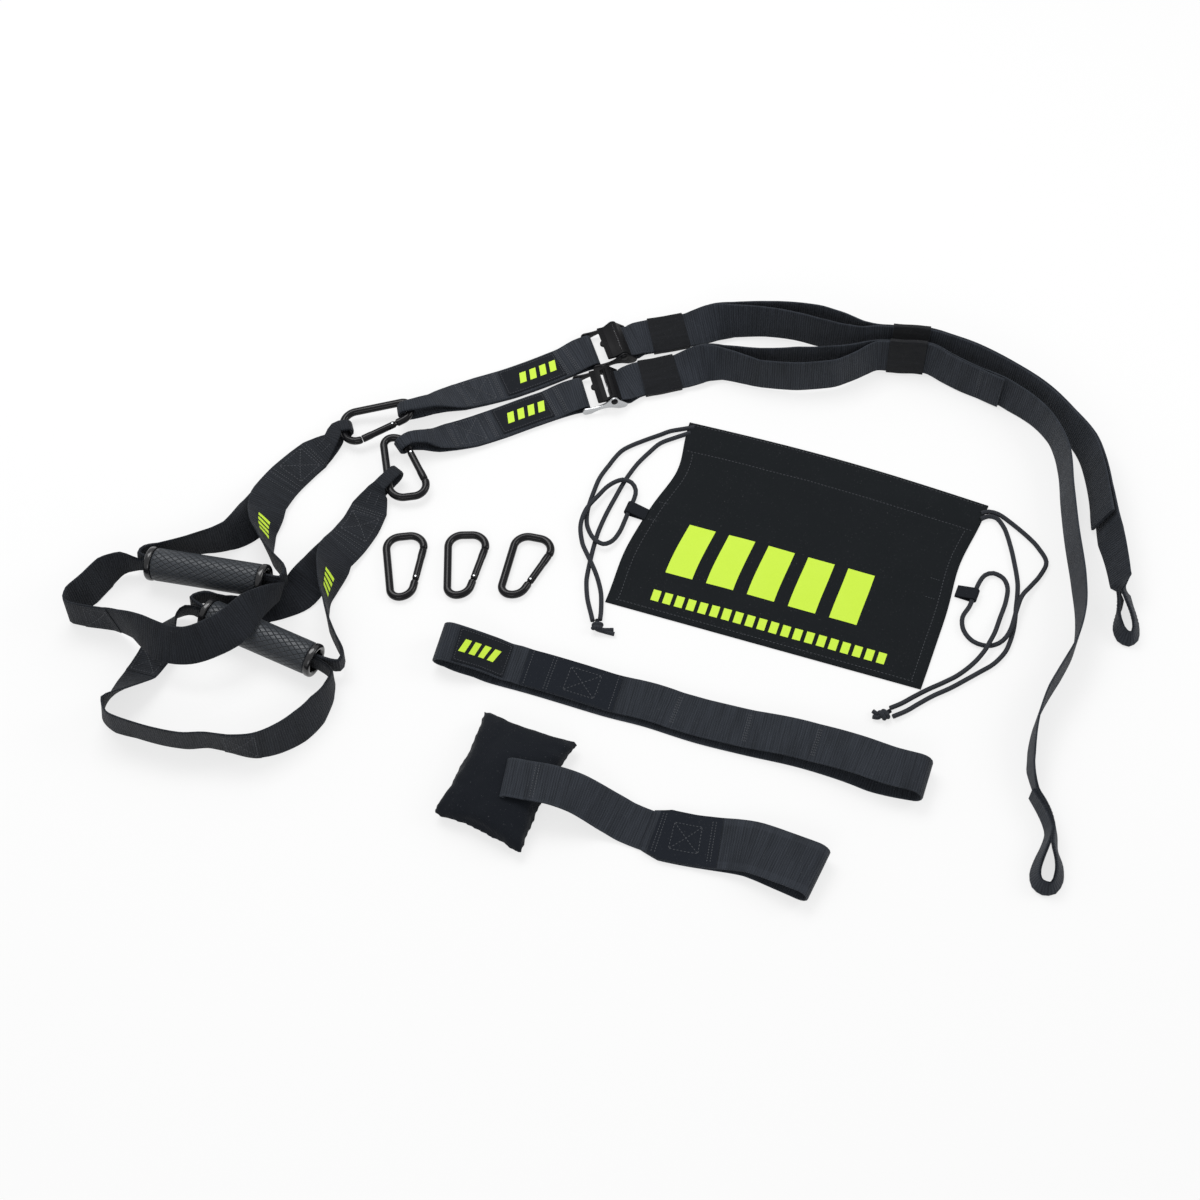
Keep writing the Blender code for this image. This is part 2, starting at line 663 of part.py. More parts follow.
def pillow(plan, columns, rows, top_height, base_height):
    """A closed cushion over a grid: its plan and its heights are functions of u and v."""
    bm = bmesh.new()
    sheets = {"top": {}, "base": {}}
    for i in range(columns + 1):
        for j in range(rows + 1):
            u, v = i / columns, j / rows
            spot = plan(u, v)
            for key, height in (("top", top_height), ("base", base_height)):
                sheets[key][i, j] = bm.verts.new((spot.x, spot.y, height(u, v)))
    for i in range(columns):
        for j in range(rows):
            for key in sheets:
                square = [(i, j), (i + 1, j), (i + 1, j + 1), (i, j + 1)]
                bm.faces.new([sheets[key][c] for c in square])
    edge = [(i, 0) for i in range(columns)] + [(columns, j) for j in range(rows)]
    edge += [(i, rows) for i in range(columns, 0, -1)] + [(0, j) for j in range(rows, 0, -1)]
    for a, b in zip(edge, edge[1:] + edge[:1]):
        bm.faces.new((sheets["base"][a], sheets["base"][b], sheets["top"][b], sheets["top"][a]))
    return bm


def bag_top(u, v):
    """Two thin layers of cloth, with a rounded casing for the cords along the top edge."""
    rise = 3.0 * (math.sin(math.pi * u) * math.sin(math.pi * v)) ** 0.7
    casing = 2.6 if 0.85 < v < 0.99 else 0.0
    return 2.4 + rise + casing


def pad_plan(u, v):
    return pulled_in(PAD, u, v, (0.07, 0.055))


def pad_top(u, v):
    crown = max(0.0, (1 - abs(2 * u - 1) ** 3) * (1 - abs(2 * v - 1) ** 3)) ** 0.6
    seam = 1.6 * math.exp(-((u - 0.27) / 0.05) ** 2) * math.sin(math.pi * v)
    return 10.5 + 14.5 * crown - seam


def pad_base(u, v):
    crown = max(0.0, (1 - abs(2 * u - 1) ** 3) * (1 - abs(2 * v - 1) ** 3)) ** 0.6
    return max(0.0, 9.0 - 11.0 * crown)


def bag_tab(name, root, tip, heading):
    """A small tape loop sewn into the bag's side, round a drawcord."""
    root, tip = Vector((*root, 0)), Vector((*tip, 0))
    away = (tip - root).normalized()
    across = Vector((*heading, 0)).normalized()
    radius = CORD_RADIUS + 0.5 + 0.6
    centre = tip + UP * (radius + 0.7)
    hold = turn(centre, away, across, radius, 13.0, 1.2, -80, 80, 6)
    lower = [(root + UP * 0.9, across, 13.0, 1.2)]
    upper = [(root + UP * 2.5, across, 13.0, 1.2)]
    ribbon(name, lower + hold + upper, black_fabric)


def drawcord(name, points):
    """A free stretch of round cord, read from a smooth curve through its route."""
    knots = [(Vector(p), UP, 1.0, 1.0) for p in points]
    stations = smooth(knots, False, 13.0)
    curve = bpy.data.curves.new(name, "CURVE")
    curve.dimensions = "3D"
    curve.bevel_depth = CORD_RADIUS * MM
    curve.bevel_resolution = 2
    curve.use_fill_caps = True
    spline = curve.splines.new("POLY")
    spline.points.add(len(stations) - 1)
    for target, station in zip(spline.points, stations):
        target.co = (*(station[0] * MM), 1.0)
    curve.materials.append(cord_black)
    made = bpy.data.objects.new(name, curve)
    made.parent = layout
    bpy.context.scene.collection.objects.link(made)


def cord_knot(name, centre, toward, tail):
    """The overhand knot that both strands end in: a lumpy ball with a short tail."""
    bm = bmesh.new()
    bmesh.ops.create_icosphere(bm, subdivisions=2, radius=1.0)
    bmesh.ops.scale(bm, verts=bm.verts, vec=(6.2, 5.4, 4.6))
    for vert in bm.verts:
        angle = math.atan2(vert.co.z, vert.co.y) + vert.co.x * 0.45
        vert.co *= 1.0 + 0.07 * math.cos(2 * angle)
    spin = Matrix.Rotation(math.atan2(toward[1], toward[0]), 4, "Z")
    centre = Vector(centre)
    bmesh.ops.transform(bm, verts=bm.verts, matrix=Matrix.Translation(centre) @ spin)
    end = Vector(tail)
    solid = combine(bm, [rod(centre, end, CORD_RADIUS, 8)], "UNION")
    node(name, solid, cord_black)


def anchor_strap(points):
    """A closed loop of webbing, its two layers parted a little and sewn near the left end."""
    body = run(points)
    right_across, left_across = body[-1][1], body[0][1]
    heading_right = (body[-1][0] - body[-2][0])
    heading_left = (body[0][0] - body[1][0])
    for heading in (heading_right, heading_left):
        heading.z = 0.0
        heading.normalize()
    right = turn(body[-1][0], heading_right, right_across, body[-1][4] / 2, WEB, SKIN)
    left = turn(body[0][0], heading_left, left_across, body[0][4] / 2, WEB, SKIN)
    under, top = layer(body, -1), layer(body, 1)
    path = under[1:-1] + right + top[-2:0:-1] + left[::-1]
    ribbon("anchor_strap", path, webbing, ring=True)
    label("anchor_label", top, 18.0, 66.0, 33.0, black_fabric)


def door_strap(start, single, loop_points):
    """From its fold on the pad to the floor, round the loop and back over itself."""
    loop = run(loop_points)
    end = loop[-1]
    heading = end[0] - loop[-2][0]
    heading.z = 0.0
    bend = turn(end[0], heading.normalized(), end[1], end[4] / 2, DOOR_LOOP, SKIN)
    single = layer(run(single), 0)
    curl = [(Vector(point), single[0][1], DOOR_STRAP, SKIN) for point in start]
    under, top = layer(loop, -1), layer(loop, 1)
    ribbon("door_strap", curl + single + under[:-1] + bend + top[-2::-1], webbing)


clear_scene()
layout = bpy.data.objects.new("layout", None)
layout.location = -LAYOUT_CENTRE * MM
bpy.context.scene.collection.objects.link(layout)

webbing = material("webbing", (0.022, 0.024, 0.032), 0.78)
elastic = material("elastic_band", (0.012, 0.012, 0.015), 0.85)
black_fabric = material("black_fabric", (0.010, 0.010, 0.012), 0.88)
bag_cloth = material("bag_cloth", (0.009, 0.009, 0.010), 0.9)
pad_cloth = material("pad_cloth", (0.012, 0.013, 0.018), 0.92)
cord_black = material("cord_black", (0.016, 0.018, 0.024), 0.8)
gloss_black = material("gloss_black_alloy", (0.010, 0.010, 0.012), 0.22, 0.4)
black_steel = material("black_steel", (0.012, 0.012, 0.013), 0.35, 0.5)
steel = material("bare_steel", (0.50, 0.51, 0.52), 0.32, 1.0)
spring_steel = material("spring_steel", (0.35, 0.35, 0.36), 0.3, 1.0)
rubber = material("grip_rubber", (0.030, 0.031, 0.034), 0.6)
hard_plastic = material("gloss_black_plastic", (0.010, 0.010, 0.011), 0.25)

# Buckles and straps. A strap point is (x, y, lean, width, gap, lift).
cam_buckle("front", FRONT_BUCKLE, black_steel)
cam_buckle("back", BACK_BUCKLE, black_steel)

main_strap(
    "front", FRONT_BUCKLE,
    [(30, 256.5, 6, WEB, 4.0, 1.9), (39, 260.5, 10, WEB, PLY, 2.2), (58, 266, 10, WEB, PLY, 2.2),
     (80, 272.4, 10, WEB, PLY, 2.2), (92, 274.5, 24, WEB, 3.6, 1.0), (106, 274.5, 48, WEB, 5, 0.4),
     (125, 272.5, 72, WEB, 6, 0.2), (160, 266, 84, WEB, 17, 0.1),
     (198, 264, 82, WEB, 23, 0.1), (235, 267, 82, WEB, 20, 0.1), (260, 275, 80, WEB, 10, 0.1),
     (279, 280.6, 78, WEB, PLY, 2.4), (304, 278.6, 78, WEB, PLY, 2.4),
     (331, 276.4, 78, WEB, PLY, 2.4), (348, 266, 78, WEB, PLY, 0.8),
     (365, 255, 78, WEB, PLY, 0.2), (383, 245, 80, WEB, PLY, 0.2), (385, 244, 80, WEB, 3, 0.2),
     (401, 235, 80, WEB, 3.2, 0.2)],
    [(411, 229, 80, WEB, 0, 0.2), (433, 209, 84, WEB, 0, 0.2), (448, 185, 86, WEB, 0, 0.2),
     (455, 153, 80, WEB, 0, 0.2), (453.5, 107, 80, WEB, 0, 0.2), (453, 62, 80, WEB, 0, 0.2),
     (454, 10, 80, WEB, 0, 0.2), (452, -28, 84, WEB, 0, 0.2), (443, -62, 90, WEB, 0, 0.2),
     (427, -91, 92, WEB, 0, 0.2), (412, -115, 92, 36, 0, 0.2), (400, -141, 88, 34, 0, 0.2),
     (393, -167, 84, 30, 0, 0.2), (390, -190, 82, 24, 0, 0.2)],
    [(388, -214, 90, FOLDED, 0.2), (393, -234, 90, FOLDED, 0.2), (394.5, -250, 90, FOLDED, 0.2),
     (386, -267, 90, 17, 0.2), (380, -287, 90, 15, 0.2), (382, -304, 90, 15, 0.2),
     (391, -313, 90, 15, 0.2), (401, -307, 90, 15, 0.2), (407, -288, 90, 15, 0.2),
     (406, -268, 90, 17, 0.2), (399.5, -249, 90, FOLDED, 0.2), (397.5, -232, 90, FOLDED, 0.2),
     (393, -213, 90, FOLDED, 0.2)],
    [("near", 26.0), ("far", 281.0)])

main_strap(
    "back", BACK_BUCKLE,
    [(39, 313.2, 6, WEB, 4.0, 1.9), (50, 317, 10, WEB, PLY, 2.2), (69, 321.6, 10, WEB, PLY, 2.2),
     (91, 326.9, 10, WEB, PLY, 2.2), (103, 328.5, 22, WEB, 3.4, 1.0), (117, 328, 44, WEB, 4.4, 0.4),
     (137, 328.5, 68, WEB, 5.6, 0.2), (170, 329, 78, WEB, 10, 0.1),
     (199, 326, 82, WEB, 15, 0.1), (222, 320, 82, WEB, 19, 0.1), (244, 312, 82, WEB, 17, 0.1),
     (266, 304, 80, WEB, 9, 0.1), (281, 300.8, 78, WEB, PLY, 2.4), (306, 298.5, 78, WEB, PLY, 2.4),
     (331, 296.2, 78, WEB, PLY, 2.4), (350, 290.5, 78, WEB, PLY, 0.8),
     (378, 278, 79, WEB, PLY, 0.2), (413, 254, 80, WEB, PLY, 0.2),
     (442, 228, 80, WEB, PLY, 0.2), (464, 197, 78, WEB, PLY, 0.2), (478, 168, 72, WEB, PLY, 0.2),
     (486, 138, 66, WEB, PLY, 0.2), (488, 112, 62, WEB, 3, 0.2), (489, 78, 62, WEB, 3.4, 0.2)],
    [(491, 68, 60, 36, 0, 0.2), (494, 46, 62, 34, 0, 0.2), (497, 26, 74, 28, 0, 0.2)],
    [(491, 6, 90, FOLDED, 0.2), (489.5, -9, 90, FOLDED, 0.2), (484, -22, 90, 17, 0.2),
     (481.5, -36, 90, 15, 0.2), (485.5, -49, 90, 15, 0.2), (492.5, -52.5, 90, 15, 0.2),
     (500.5, -47, 90, 15, 0.2), (504, -34, 90, 15, 0.2), (501, -18, 90, 17, 0.2),
     (495, -5, 90, FOLDED, 0.2), (495.5, 8, 90, FOLDED, 0.2)],
    [("near", 26.0), ("far", 277.0)])

# Attached carabiners, and where the straps hold them
back_hook = carabiner_place((-190.0, 225.5, 17.6), 189.0, -7.2, True)
front_hook = carabiner_place((-214.5, 179.5, 15.6), -81.2, -5.6, True)
carabiner("back_carabiner", back_hook)
carabiner("front_carabiner", front_hook)

short_strap(
    "back", BACK_BUCKLE,
    [(-20, 293.5, 0, WEB, 6, 0.6), (-35, 287.5, 2, WEB, PLY, 0.3), (-64, 274, 2, WEB, PLY, 0.3),
     (-93, 261, 2, WEB, PLY, 0.3), (-120, 251, 4, WEB, PLY, 0.5), (-142, 240, 6, 35, 3.4, 2.4),
     (-157, 230, 2, 25, 6.5, 7.0), (-169, 222.5, 0, 17, 10.5, 9.5)],
    hold_on(back_hook, (10.8, 10.8), -90, 6.0, 8.0, 1.6), 62.0)
short_strap(
    "front", FRONT_BUCKLE,
    [(-31, 239, 0, WEB, 6, 0.6), (-51, 232, 2, WEB, PLY, 0.3), (-74, 222.5, 2, WEB, PLY, 0.3),
     (-100, 210.5, 2, WEB, PLY, 0.3), (-128, 198, 4, WEB, PLY, 0.3), (-148, 189, 6, 35, 3.4, 1.6),
     (-162, 183, 2, 26, 6.5, 4.6), (-174, 180, 0, 17, 10.5, 7.6)],
    hold_on(front_hook, (8.8, 14.0), -24, 12.0, 8.0, 0.9), 58.0)

# Handles. The back one lies across the front one.
BACK_GRIP = grip_ends(-371.5, 16.0, 23.5, -14.4, 6.0)
FRONT_GRIP = grip_ends(-317.0, -52.5, 17.0, -26.2, 0.0)
grip("back", *BACK_GRIP)
grip("front", *FRONT_GRIP)
hand_strap(
    "back", *BACK_GRIP,
    [(-265, 183, 0, 17, 10.0, 2.0), (-273, 176, -1, 27, 6.5, 0.8), (-281, 167.5, -2, 36, 3.4, 0.4),
     (-297, 147.5, -4, WEB, PLY, 0.3), (-311, 127.5, -9, WEB, 2.6, 0.3),
     (-321, 108, -18, WEB, 4.5, 0.3)],
    hold_on(back_hook, (18.5, 69.0), 84, -1.8),
    [(-324, 94, -27, WEB, 0, 3.5), (-325, 77, -50, WEB, 0, 1.5), (-321, 55, -72, WEB, 0, 1.0),
     (-315, 37, -84, 34, 0, 5.0), (-304, 21, -90, 28, 0, 12.0), (-297, 9, -90, 22, 0, 18.5),
     (-301, 0.5, -90, FOLDED, 0, 20.6)],
    [(-332, 94, -27, WEB, 0, 0.1), (-342, 77, -50, WEB, 0, 0.2), (-358, 61, -78, WEB, 0, 0.2),
     (-380, 54, -88, 36, 0, 0.2), (-403, 50.5, -90, 30, 0, 0.2), (-422, 48.5, -90, 24, 0, 1.5),
     (-436, 45, -90, 20, 0, 5.0), (-440, 37, -90, FOLDED, 0, 7.2)])
foot_loop(
    "back", *BACK_GRIP,
    [(-440, 30, 90, FOLDED, 0, 7.2), (-457, 34, 86, 30, 0, 2.2), (-474, 23, 82, WEB, 0, 0.2),
     (-488, 3, 84, WEB, 0, 0.2), (-501, -12, 88, WEB, 0, 0.2), (-501, -24, 90, WEB, 0, 0.2),
     (-482, -30, 90, WEB, 0, 0.2), (-461, -34, 92, WEB, 0, 1.0), (-443, -44, 88, WEB, 0, 8.0),
     (-424, -58, 68, WEB, 0, 16.5), (-403, -72, 54, WEB, 0, 22.5), (-380, -78, 56, WEB, 0, 27.0),
     (-358, -73, 52, WEB, 0, 32.5), (-340, -62, 46, WEB, 0, 35.5), (-325, -42, 52, 34, 0, 34.5),
     (-309, -22, 74, 26, 0, 27.0), (-300, -8.5, 90, FOLDED, 0, 20.8)])
hand_strap(
    "front", *FRONT_GRIP,
    [(-217, 121, 0, 20, 9.0, 1.6), (-221, 112.5, -1, 29, 6.0, 0.8), (-224.5, 104, -2, 36, 3.4, 0.4),
     (-232, 84, -4, WEB, PLY, 0.3), (-243, 62, -15, WEB, 2.6, 0.3), (-254, 44, -28, WEB, 4.5, 0.3)],
    hold_on(front_hook, (0.0, 48.0), 139, -8.2, 20.0),
    [(-255, 31, -38, WEB, 0, 3.5), (-258, 13, -60, WEB, 0, 1.5), (-260, -4, -78, WEB, 0, 0.8),
     (-258, -20, -87, WEB, 0, 0.6), (-254, -38, -90, 34, 0, 1.0), (-246, -57, -90, 28, 0, 3.0),
     (-239, -73, -90, 22, 0, 5.5), (-242, -83, -90, FOLDED, 0, 7.2)],
    [(-265, 31, -34, WEB, 0, 0.1), (-276, 16, -38, WEB, 0, 0.1), (-288, 4, -12, WEB, 0, 0.1),
     (-303, -5, -5, 34, 0, 0.1), (-317, -11, -6, 31, 0, 0.1), (-329, -16.5, -16, 29, 0, 0.1),
     (-338, -17.5, -32, 27, 0, 0.1), (-346, -15, -56, 25, 0, 0.2), (-355, -11.5, -80, 23, 0, 0.8),
     (-363, -8.5, -90, 21, 0, 3.5),
     (-374, -7, -90, FOLDED, 0, 6.5), (-385, -13, -90, FOLDED, 0, 7.2)])
foot_loop(
    "front", *FRONT_GRIP,
    [(-388, -22, 90, FOLDED, 0, 7.0), (-399, -27, 60, 24, 0, 1.5), (-409, -42, 26, 32, 0, 0.3),
     (-415, -62, 14, WEB, 0, 0.3), (-427, -87, 22, WEB, 0, 0.3), (-444, -110, 52, WEB, 0, 0.3),
     (-456, -130, 82, WEB, 0, 0.3), (-448, -144, 92, WEB, 0, 0.3), (-426, -153, 96, WEB, 0, 0.3),
     (-400, -161, 96, WEB, 0, 0.3), (-376, -165, 97, WEB, 0, 0.3), (-359, -164, 98, WEB, 0, 0.3),
     (-336, -168, 95, WEB, 0, 0.3), (-314, -170, 92, WEB, 0, 0.3), (-292, -166, 88, WEB, 0, 0.3),
     (-271, -153, 87, WEB, 0, 0.3), (-256, -134, 86, 36, 0, 0.6), (-248, -112, 90, 28, 0, 3.0),
     (-248, -94, 90, FOLDED, 0, 7.0)])

# Spare carabiners, flat on the surface: square corner, heading of the bow
SPARES = ((-199.0, 0.0, 97.0), (-145.5, 3.0, 91.0), (-95.5, 6.0, 77.0))
for index, (x, y, heading) in enumerate(SPARES, start=1):
    carabiner(f"spare_carabiner_{index}", carabiner_place((x, y, ROD), heading, 0.0, False))

# Bag, from its bottom left corner round to the top left one, and what hangs on it
BAG = ((6, -1, 0), (299, -98, 0), (378, 104, 0), (88, 209, 0))
bag = pillow(bag_plan, 16, 12, bag_top, lambda u, v: 0.0)
node("bag", bag, bag_cloth)
bag_tab("bag_tab_left", (45.5, 97.4), (29, 103.9), (0.364, 0.931))
bag_tab("bag_tab_right", (339.9, 9.2), (356, 2.9), (0.364, 0.931))
LOW = 2.45
OVER = 7.3
drawcord("drawcord_left_inner", [
    (75, 191, LOW), (60, 184, LOW), (50, 174, LOW), (38, 160, LOW), (25, 139, LOW),
    (15, 118, LOW), (6, 98, LOW), (-2, 76, LOW), (-6, 60, LOW), (-10, 40, LOW), (-13, 19, LOW),
    (-12, 0, LOW), (-8.5, -18, 3.2), (-7, -26, 4.0)])
drawcord("drawcord_left_outer", [
    (79, 201, LOW), (70, 199, LOW), (59, 194, LOW), (41, 186, LOW), (22, 175, LOW),
    (9, 157, LOW), (-1, 140, LOW), (-7, 122, LOW), (-12, 103, LOW), (-13, 92, LOW),
    (-12, 82, 3.2), (-6, 66, OVER), (3, 60, 6.8), (12, 65, 5.0), (19, 76, 4.2), (24.3, 90, 4.05),
    (29, 103.9, 4.05), (33.6, 116, 4.2), (35, 125, 5.0), (31, 133, 6.5), (22, 136, OVER),
    (9, 130, 6.2), (-2, 117, 6.4), (-12, 103, 7.5), (-17, 91, 7.2), (-19, 80, 5.2),
    (-17, 62, 5.2), (-10, 42, OVER), (-3, 24, 4.6), (1, 5, LOW), (1, -14, 3.2), (0, -25, 4.0)])
drawcord("drawcord_right_inner", [
    (386, 93, LOW), (392, 82, LOW), (396, 62, LOW), (398, 42, LOW), (399, 16, LOW),
    (395, -10, LOW), (390, -36, LOW), (380, -60, LOW), (368, -73, LOW), (354, -82, LOW),
    (341, -90, LOW), (326, -99, LOW), (309, -107.5, LOW), (295, -116, LOW), (283, -124, 3.0),
    (270, -130.5, 3.8)])
drawcord("drawcord_right_outer", [
    (388, 98, LOW), (398, 89, LOW), (410, 76, LOW), (422, 60, LOW), (429, 42, LOW),
    (422, 27, LOW), (411, 13, 4.2), (401, 0, OVER), (394, -17, 7.4), (387, -37, OVER),
    (382, -45, 5.2), (375, -50.5, 3.2), (364, -53, LOW), (351, -48, LOW), (343, -36, 2.9), (343, -22, 3.6),
    (350.5, -10, 4.05), (356, 2.9, 4.05), (361.5, 16, 4.0), (368.5, 26, 3.4), (377, 29, LOW),
    (386, 23, LOW), (389, 12, LOW), (386, -3, LOW), (378, -24, 4.6), (371, -42, 7.5),
    (365.5, -52, 7.5), (360, -61, 6.2), (349, -73, 3.6), (334, -85, LOW), (320, -93, LOW), (304, -101, LOW),
    (290, -109, LOW), (279, -116, 3.0), (268, -121.5, 3.8)])
cord_knot("knot_left", (-2.5, -32.5, 4.9), (0.2, 1.0), (14, -39, 2.5))
cord_knot("knot_right", (262, -129, 4.9), (0.9, 0.4), (252, -124, 2.5))

anchor_strap([
    (-138, -63, 12, WEB, 15, 0.2), (-124, -67, 11, WEB, 12, 0.2), (-106, -71.5, 9, WEB, 7, 0.2),
    (-84, -77, 8, WEB, 3.2, 0.2), (-58, -84, 8, WEB, PLY, 0.2), (-29, -94, 8, WEB, PLY, 0.2),
    (11, -107, 8, WEB, 3.4, 0.2), (48, -118, 8, WEB, 4.0, 0.2), (94, -135, 8, WEB, 4.6, 0.2),
    (139, -148, 8, WEB, 7, 0.2), (184, -160, 8, WEB, 10, 0.2), (226, -175, 7, WEB, 14, 0.2),
    (262, -191, 5, WEB, 19, 0.2), (285, -199, 4, WEB, 21, 0.2)])

PAD = ((-155, -236, 0), (-69, -280, 0), (-16, -160, 0), (-107, -123, 0))
node("door_pad", pillow(pad_plan, 14, 16, pad_top, pad_base), pad_cloth)
door_strap(
    [(-72, -211, 26.2), (-82, -209, 27.0), (-85.5, -208.4, 29.4), (-82, -209, 31.6)],
    [(-66, -212, 0, DOOR_STRAP, 0, 30.0), (-44, -216, 0, DOOR_STRAP, 0, 29.0),
     (-20, -222, 2, DOOR_STRAP, 0, 22.0), (4, -231, 4, DOOR_STRAP, 0, 9.0),
     (24, -240, 4, DOOR_STRAP, 0, 1.5)],
    [(43, -248, 4, DOOR_STRAP, PLY, 0.2), (58, -253, 4, DOOR_LOOP, PLY, 0.2),
     (84, -259, 4, DOOR_LOOP, PLY, 0.2), (106, -263, 4, DOOR_LOOP, 4.4, 0.2),
     (134, -269, 4, DOOR_LOOP, 10, 0.2), (160, -281, 4, DOOR_LOOP, 15, 0.2),
     (184, -293, 4, DOOR_LOOP, 19, 0.2)])
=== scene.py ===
"""Suspension trainer laid out on a pale floor: webbing, buckles, handles, carabiners, bag and anchors.

Places are worked out in millimetres on the layout's own plan, as the solids were, and every finished
piece is moved once to the shared frame in metres. +X is right, +Y is away and +Z is up.
"""

import math
from functools import partial

import bmesh
import bpy
from mathutils import Matrix, Vector, noise


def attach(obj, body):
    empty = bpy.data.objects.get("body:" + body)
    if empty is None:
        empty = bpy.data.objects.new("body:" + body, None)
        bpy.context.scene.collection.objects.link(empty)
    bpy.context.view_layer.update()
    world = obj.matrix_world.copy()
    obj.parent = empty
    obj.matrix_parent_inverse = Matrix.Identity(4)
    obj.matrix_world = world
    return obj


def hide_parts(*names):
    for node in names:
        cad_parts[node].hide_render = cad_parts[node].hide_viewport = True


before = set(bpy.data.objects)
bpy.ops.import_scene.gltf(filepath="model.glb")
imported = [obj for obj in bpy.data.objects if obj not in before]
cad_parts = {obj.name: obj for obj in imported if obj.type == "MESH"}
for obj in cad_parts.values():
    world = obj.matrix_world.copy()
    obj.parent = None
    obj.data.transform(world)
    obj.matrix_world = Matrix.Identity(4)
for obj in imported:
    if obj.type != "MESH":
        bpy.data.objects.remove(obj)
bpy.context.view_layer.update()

MM = 0.001
UP = Vector((0.0, 0.0, 1.0))

# Driving dimensions, in millimetres
WEB = 38.0                # width of the strap webbing
SKIN = 1.8                # thickness of one layer of webbing
FOLDED = 19.0             # width of the webbing where it is folded in half
FOLD_SKIN = 3.4           # thickness of the folded webbing
PLY = 2.2                 # from the middle of one sewn layer to the middle of the next
GAP = 0.3                 # clearance between pieces that touch
ROD = 3.85                # radius of a carabiner's rod
CARABINER_LENGTH = 69.0   # along its middle line
GRIP_RADIUS = 15.8
GRIP_HALF = 60.0          # half the length of a grip with its end caps
BORE = 11.2               # radius of the hole through a grip
EYE_WIDTH = 13.0          # width of the bunched webbing round a carabiner
DOOR_STRAP = 40.0         # width of the door anchor's strap
DOOR_LOOP = 50.0          # width of its loop
CORD_RADIUS = 2.25        # of the bag's drawcords
LAYOUT_CENTRE = Vector((1.6, 13.5, 0.0))
FRONT_BUCKLE = (0.0, 247.0, 14.0)      # x, y and heading in degrees
BACK_BUCKLE = (9.0, 303.0, 17.0)
BAR_Z = 5.4               # height of both bars of a buckle
BAR_RADIUS = 2.6
BAR_X = 19.0              # each bar's distance from the middle of its buckle
BAR_WRAP = BAR_RADIUS + 0.4 + SKIN / 2
PIN_X = 9.5
PIN_Z = 13.6
PIN_BORE = 2.3            # radius of the pin's hole
CHEEK_INNER, CHEEK_OUTER = 20.6, 22.4  # faces of a buckle's cheeks
KEEPER_LENGTH = 37.0
PATCH_SKIN = 0.9          # thickness of a sewn-on patch
LABEL_SKIN = 0.7
LABEL_LIFT = 0.3          # of a label above its strap
LABEL_HEM = 1.6           # from a label's edge to its stitches
AROUND = 24               # points round the section of a strap
WEB_PITCH = 4.5           # between two rows of points along a strap
RIB_PITCH = 0.0023        # of the webbing's weave, in metres
HALF_WEB = 0.019          # half the webbing's width, in metres

# Camera: above and in front of the layout, at the photograph's angle
CAMERA_ELEVATION = 57.0
CAMERA_DISTANCE = 2.286
CAMERA_LENS = 72.0


def link(name, data):
    made = bpy.data.objects.new(name, data)
    bpy.context.scene.collection.objects.link(made)
    return made


def look_from(item, place, aim):
    """Puts a camera or a light at a place, turned towards its aim."""
    item.location = place
    item.rotation_euler = (Vector(aim) - Vector(place)).to_track_quat("-Z", "Y").to_euler()


def set_camera(elevation, distance, lens, aim):
    angle = math.radians(elevation)
    back = Vector((0.0, -math.cos(angle), math.sin(angle)))
    data = bpy.data.cameras.new("camera")
    data.sensor_width = 36.0
    data.lens = lens
    data.clip_start = 0.05
    made = link("camera", data)
    look_from(made, aim + back * distance, aim)
    bpy.context.scene.camera = made


set_camera(CAMERA_ELEVATION, CAMERA_DISTANCE, CAMERA_LENS, -LAYOUT_CENTRE * MM)


# Shader groups, each built once

def new_group(name, values, outputs):
    """A group that takes a vector and numbers and gives numbers, with its inner sockets."""
    group = bpy.data.node_groups.new(name, "ShaderNodeTree")
    group.interface.new_socket("Vector", in_out="INPUT", socket_type="NodeSocketVector")
    for title, value in values.items():
        socket = group.interface.new_socket(title, in_out="INPUT", socket_type="NodeSocketFloat")
        socket.default_value = value
    for title in outputs:
        group.interface.new_socket(title, in_out="OUTPUT", socket_type="NodeSocketFloat")
    return group, group.nodes.new("NodeGroupInput").outputs, group.nodes.new("NodeGroupOutput").inputs


def maths(tree, operation, first, second=None, third=None, clamp=False):
    """A Math node whose inputs are sockets or numbers."""
    made = tree.nodes.new("ShaderNodeMath")
    made.operation = operation
    made.use_clamp = clamp
    for slot, value in enumerate((first, second, third)):
        if value is not None:
            feed(tree, made.inputs[slot], value)
    return made.outputs[0]


def feed(tree, slot, value):
    """Gives an input a number, or links a socket to it."""
    if isinstance(value, (int, float)):
        slot.default_value = value
    else:
        tree.links.new(value, slot)


def noise_of(tree, vector, scale, detail=3.0):
    made = tree.nodes.new("ShaderNodeTexNoise")
    made.inputs["Detail"].default_value = detail
    made.inputs["Roughness"].default_value = 0.55
    feed(tree, made.inputs["Scale"], scale)
    feed(tree, made.inputs["Vector"], vector)
    return made.outputs["Fac"]


def in_pitches(group, vector, pitch):
    """Length and girth of a surface counted in pitches of its pattern."""
    split = group.nodes.new("ShaderNodeSeparateXYZ")
    group.links.new(vector, split.inputs[0])
    return [maths(group, "DIVIDE", axis, pitch) for axis in split.outputs[:2]]


def wave(group, count):
    return maths(group, "SINE", maths(group, "MULTIPLY", count, math.pi))


def crossing(group, first, second):
    """Two families of threads over and under one another, from 0 to 1."""
    return maths(group, "MULTIPLY_ADD", maths(group, "MULTIPLY", wave(group, first), wave(group, second)),
                 0.5, 0.5)


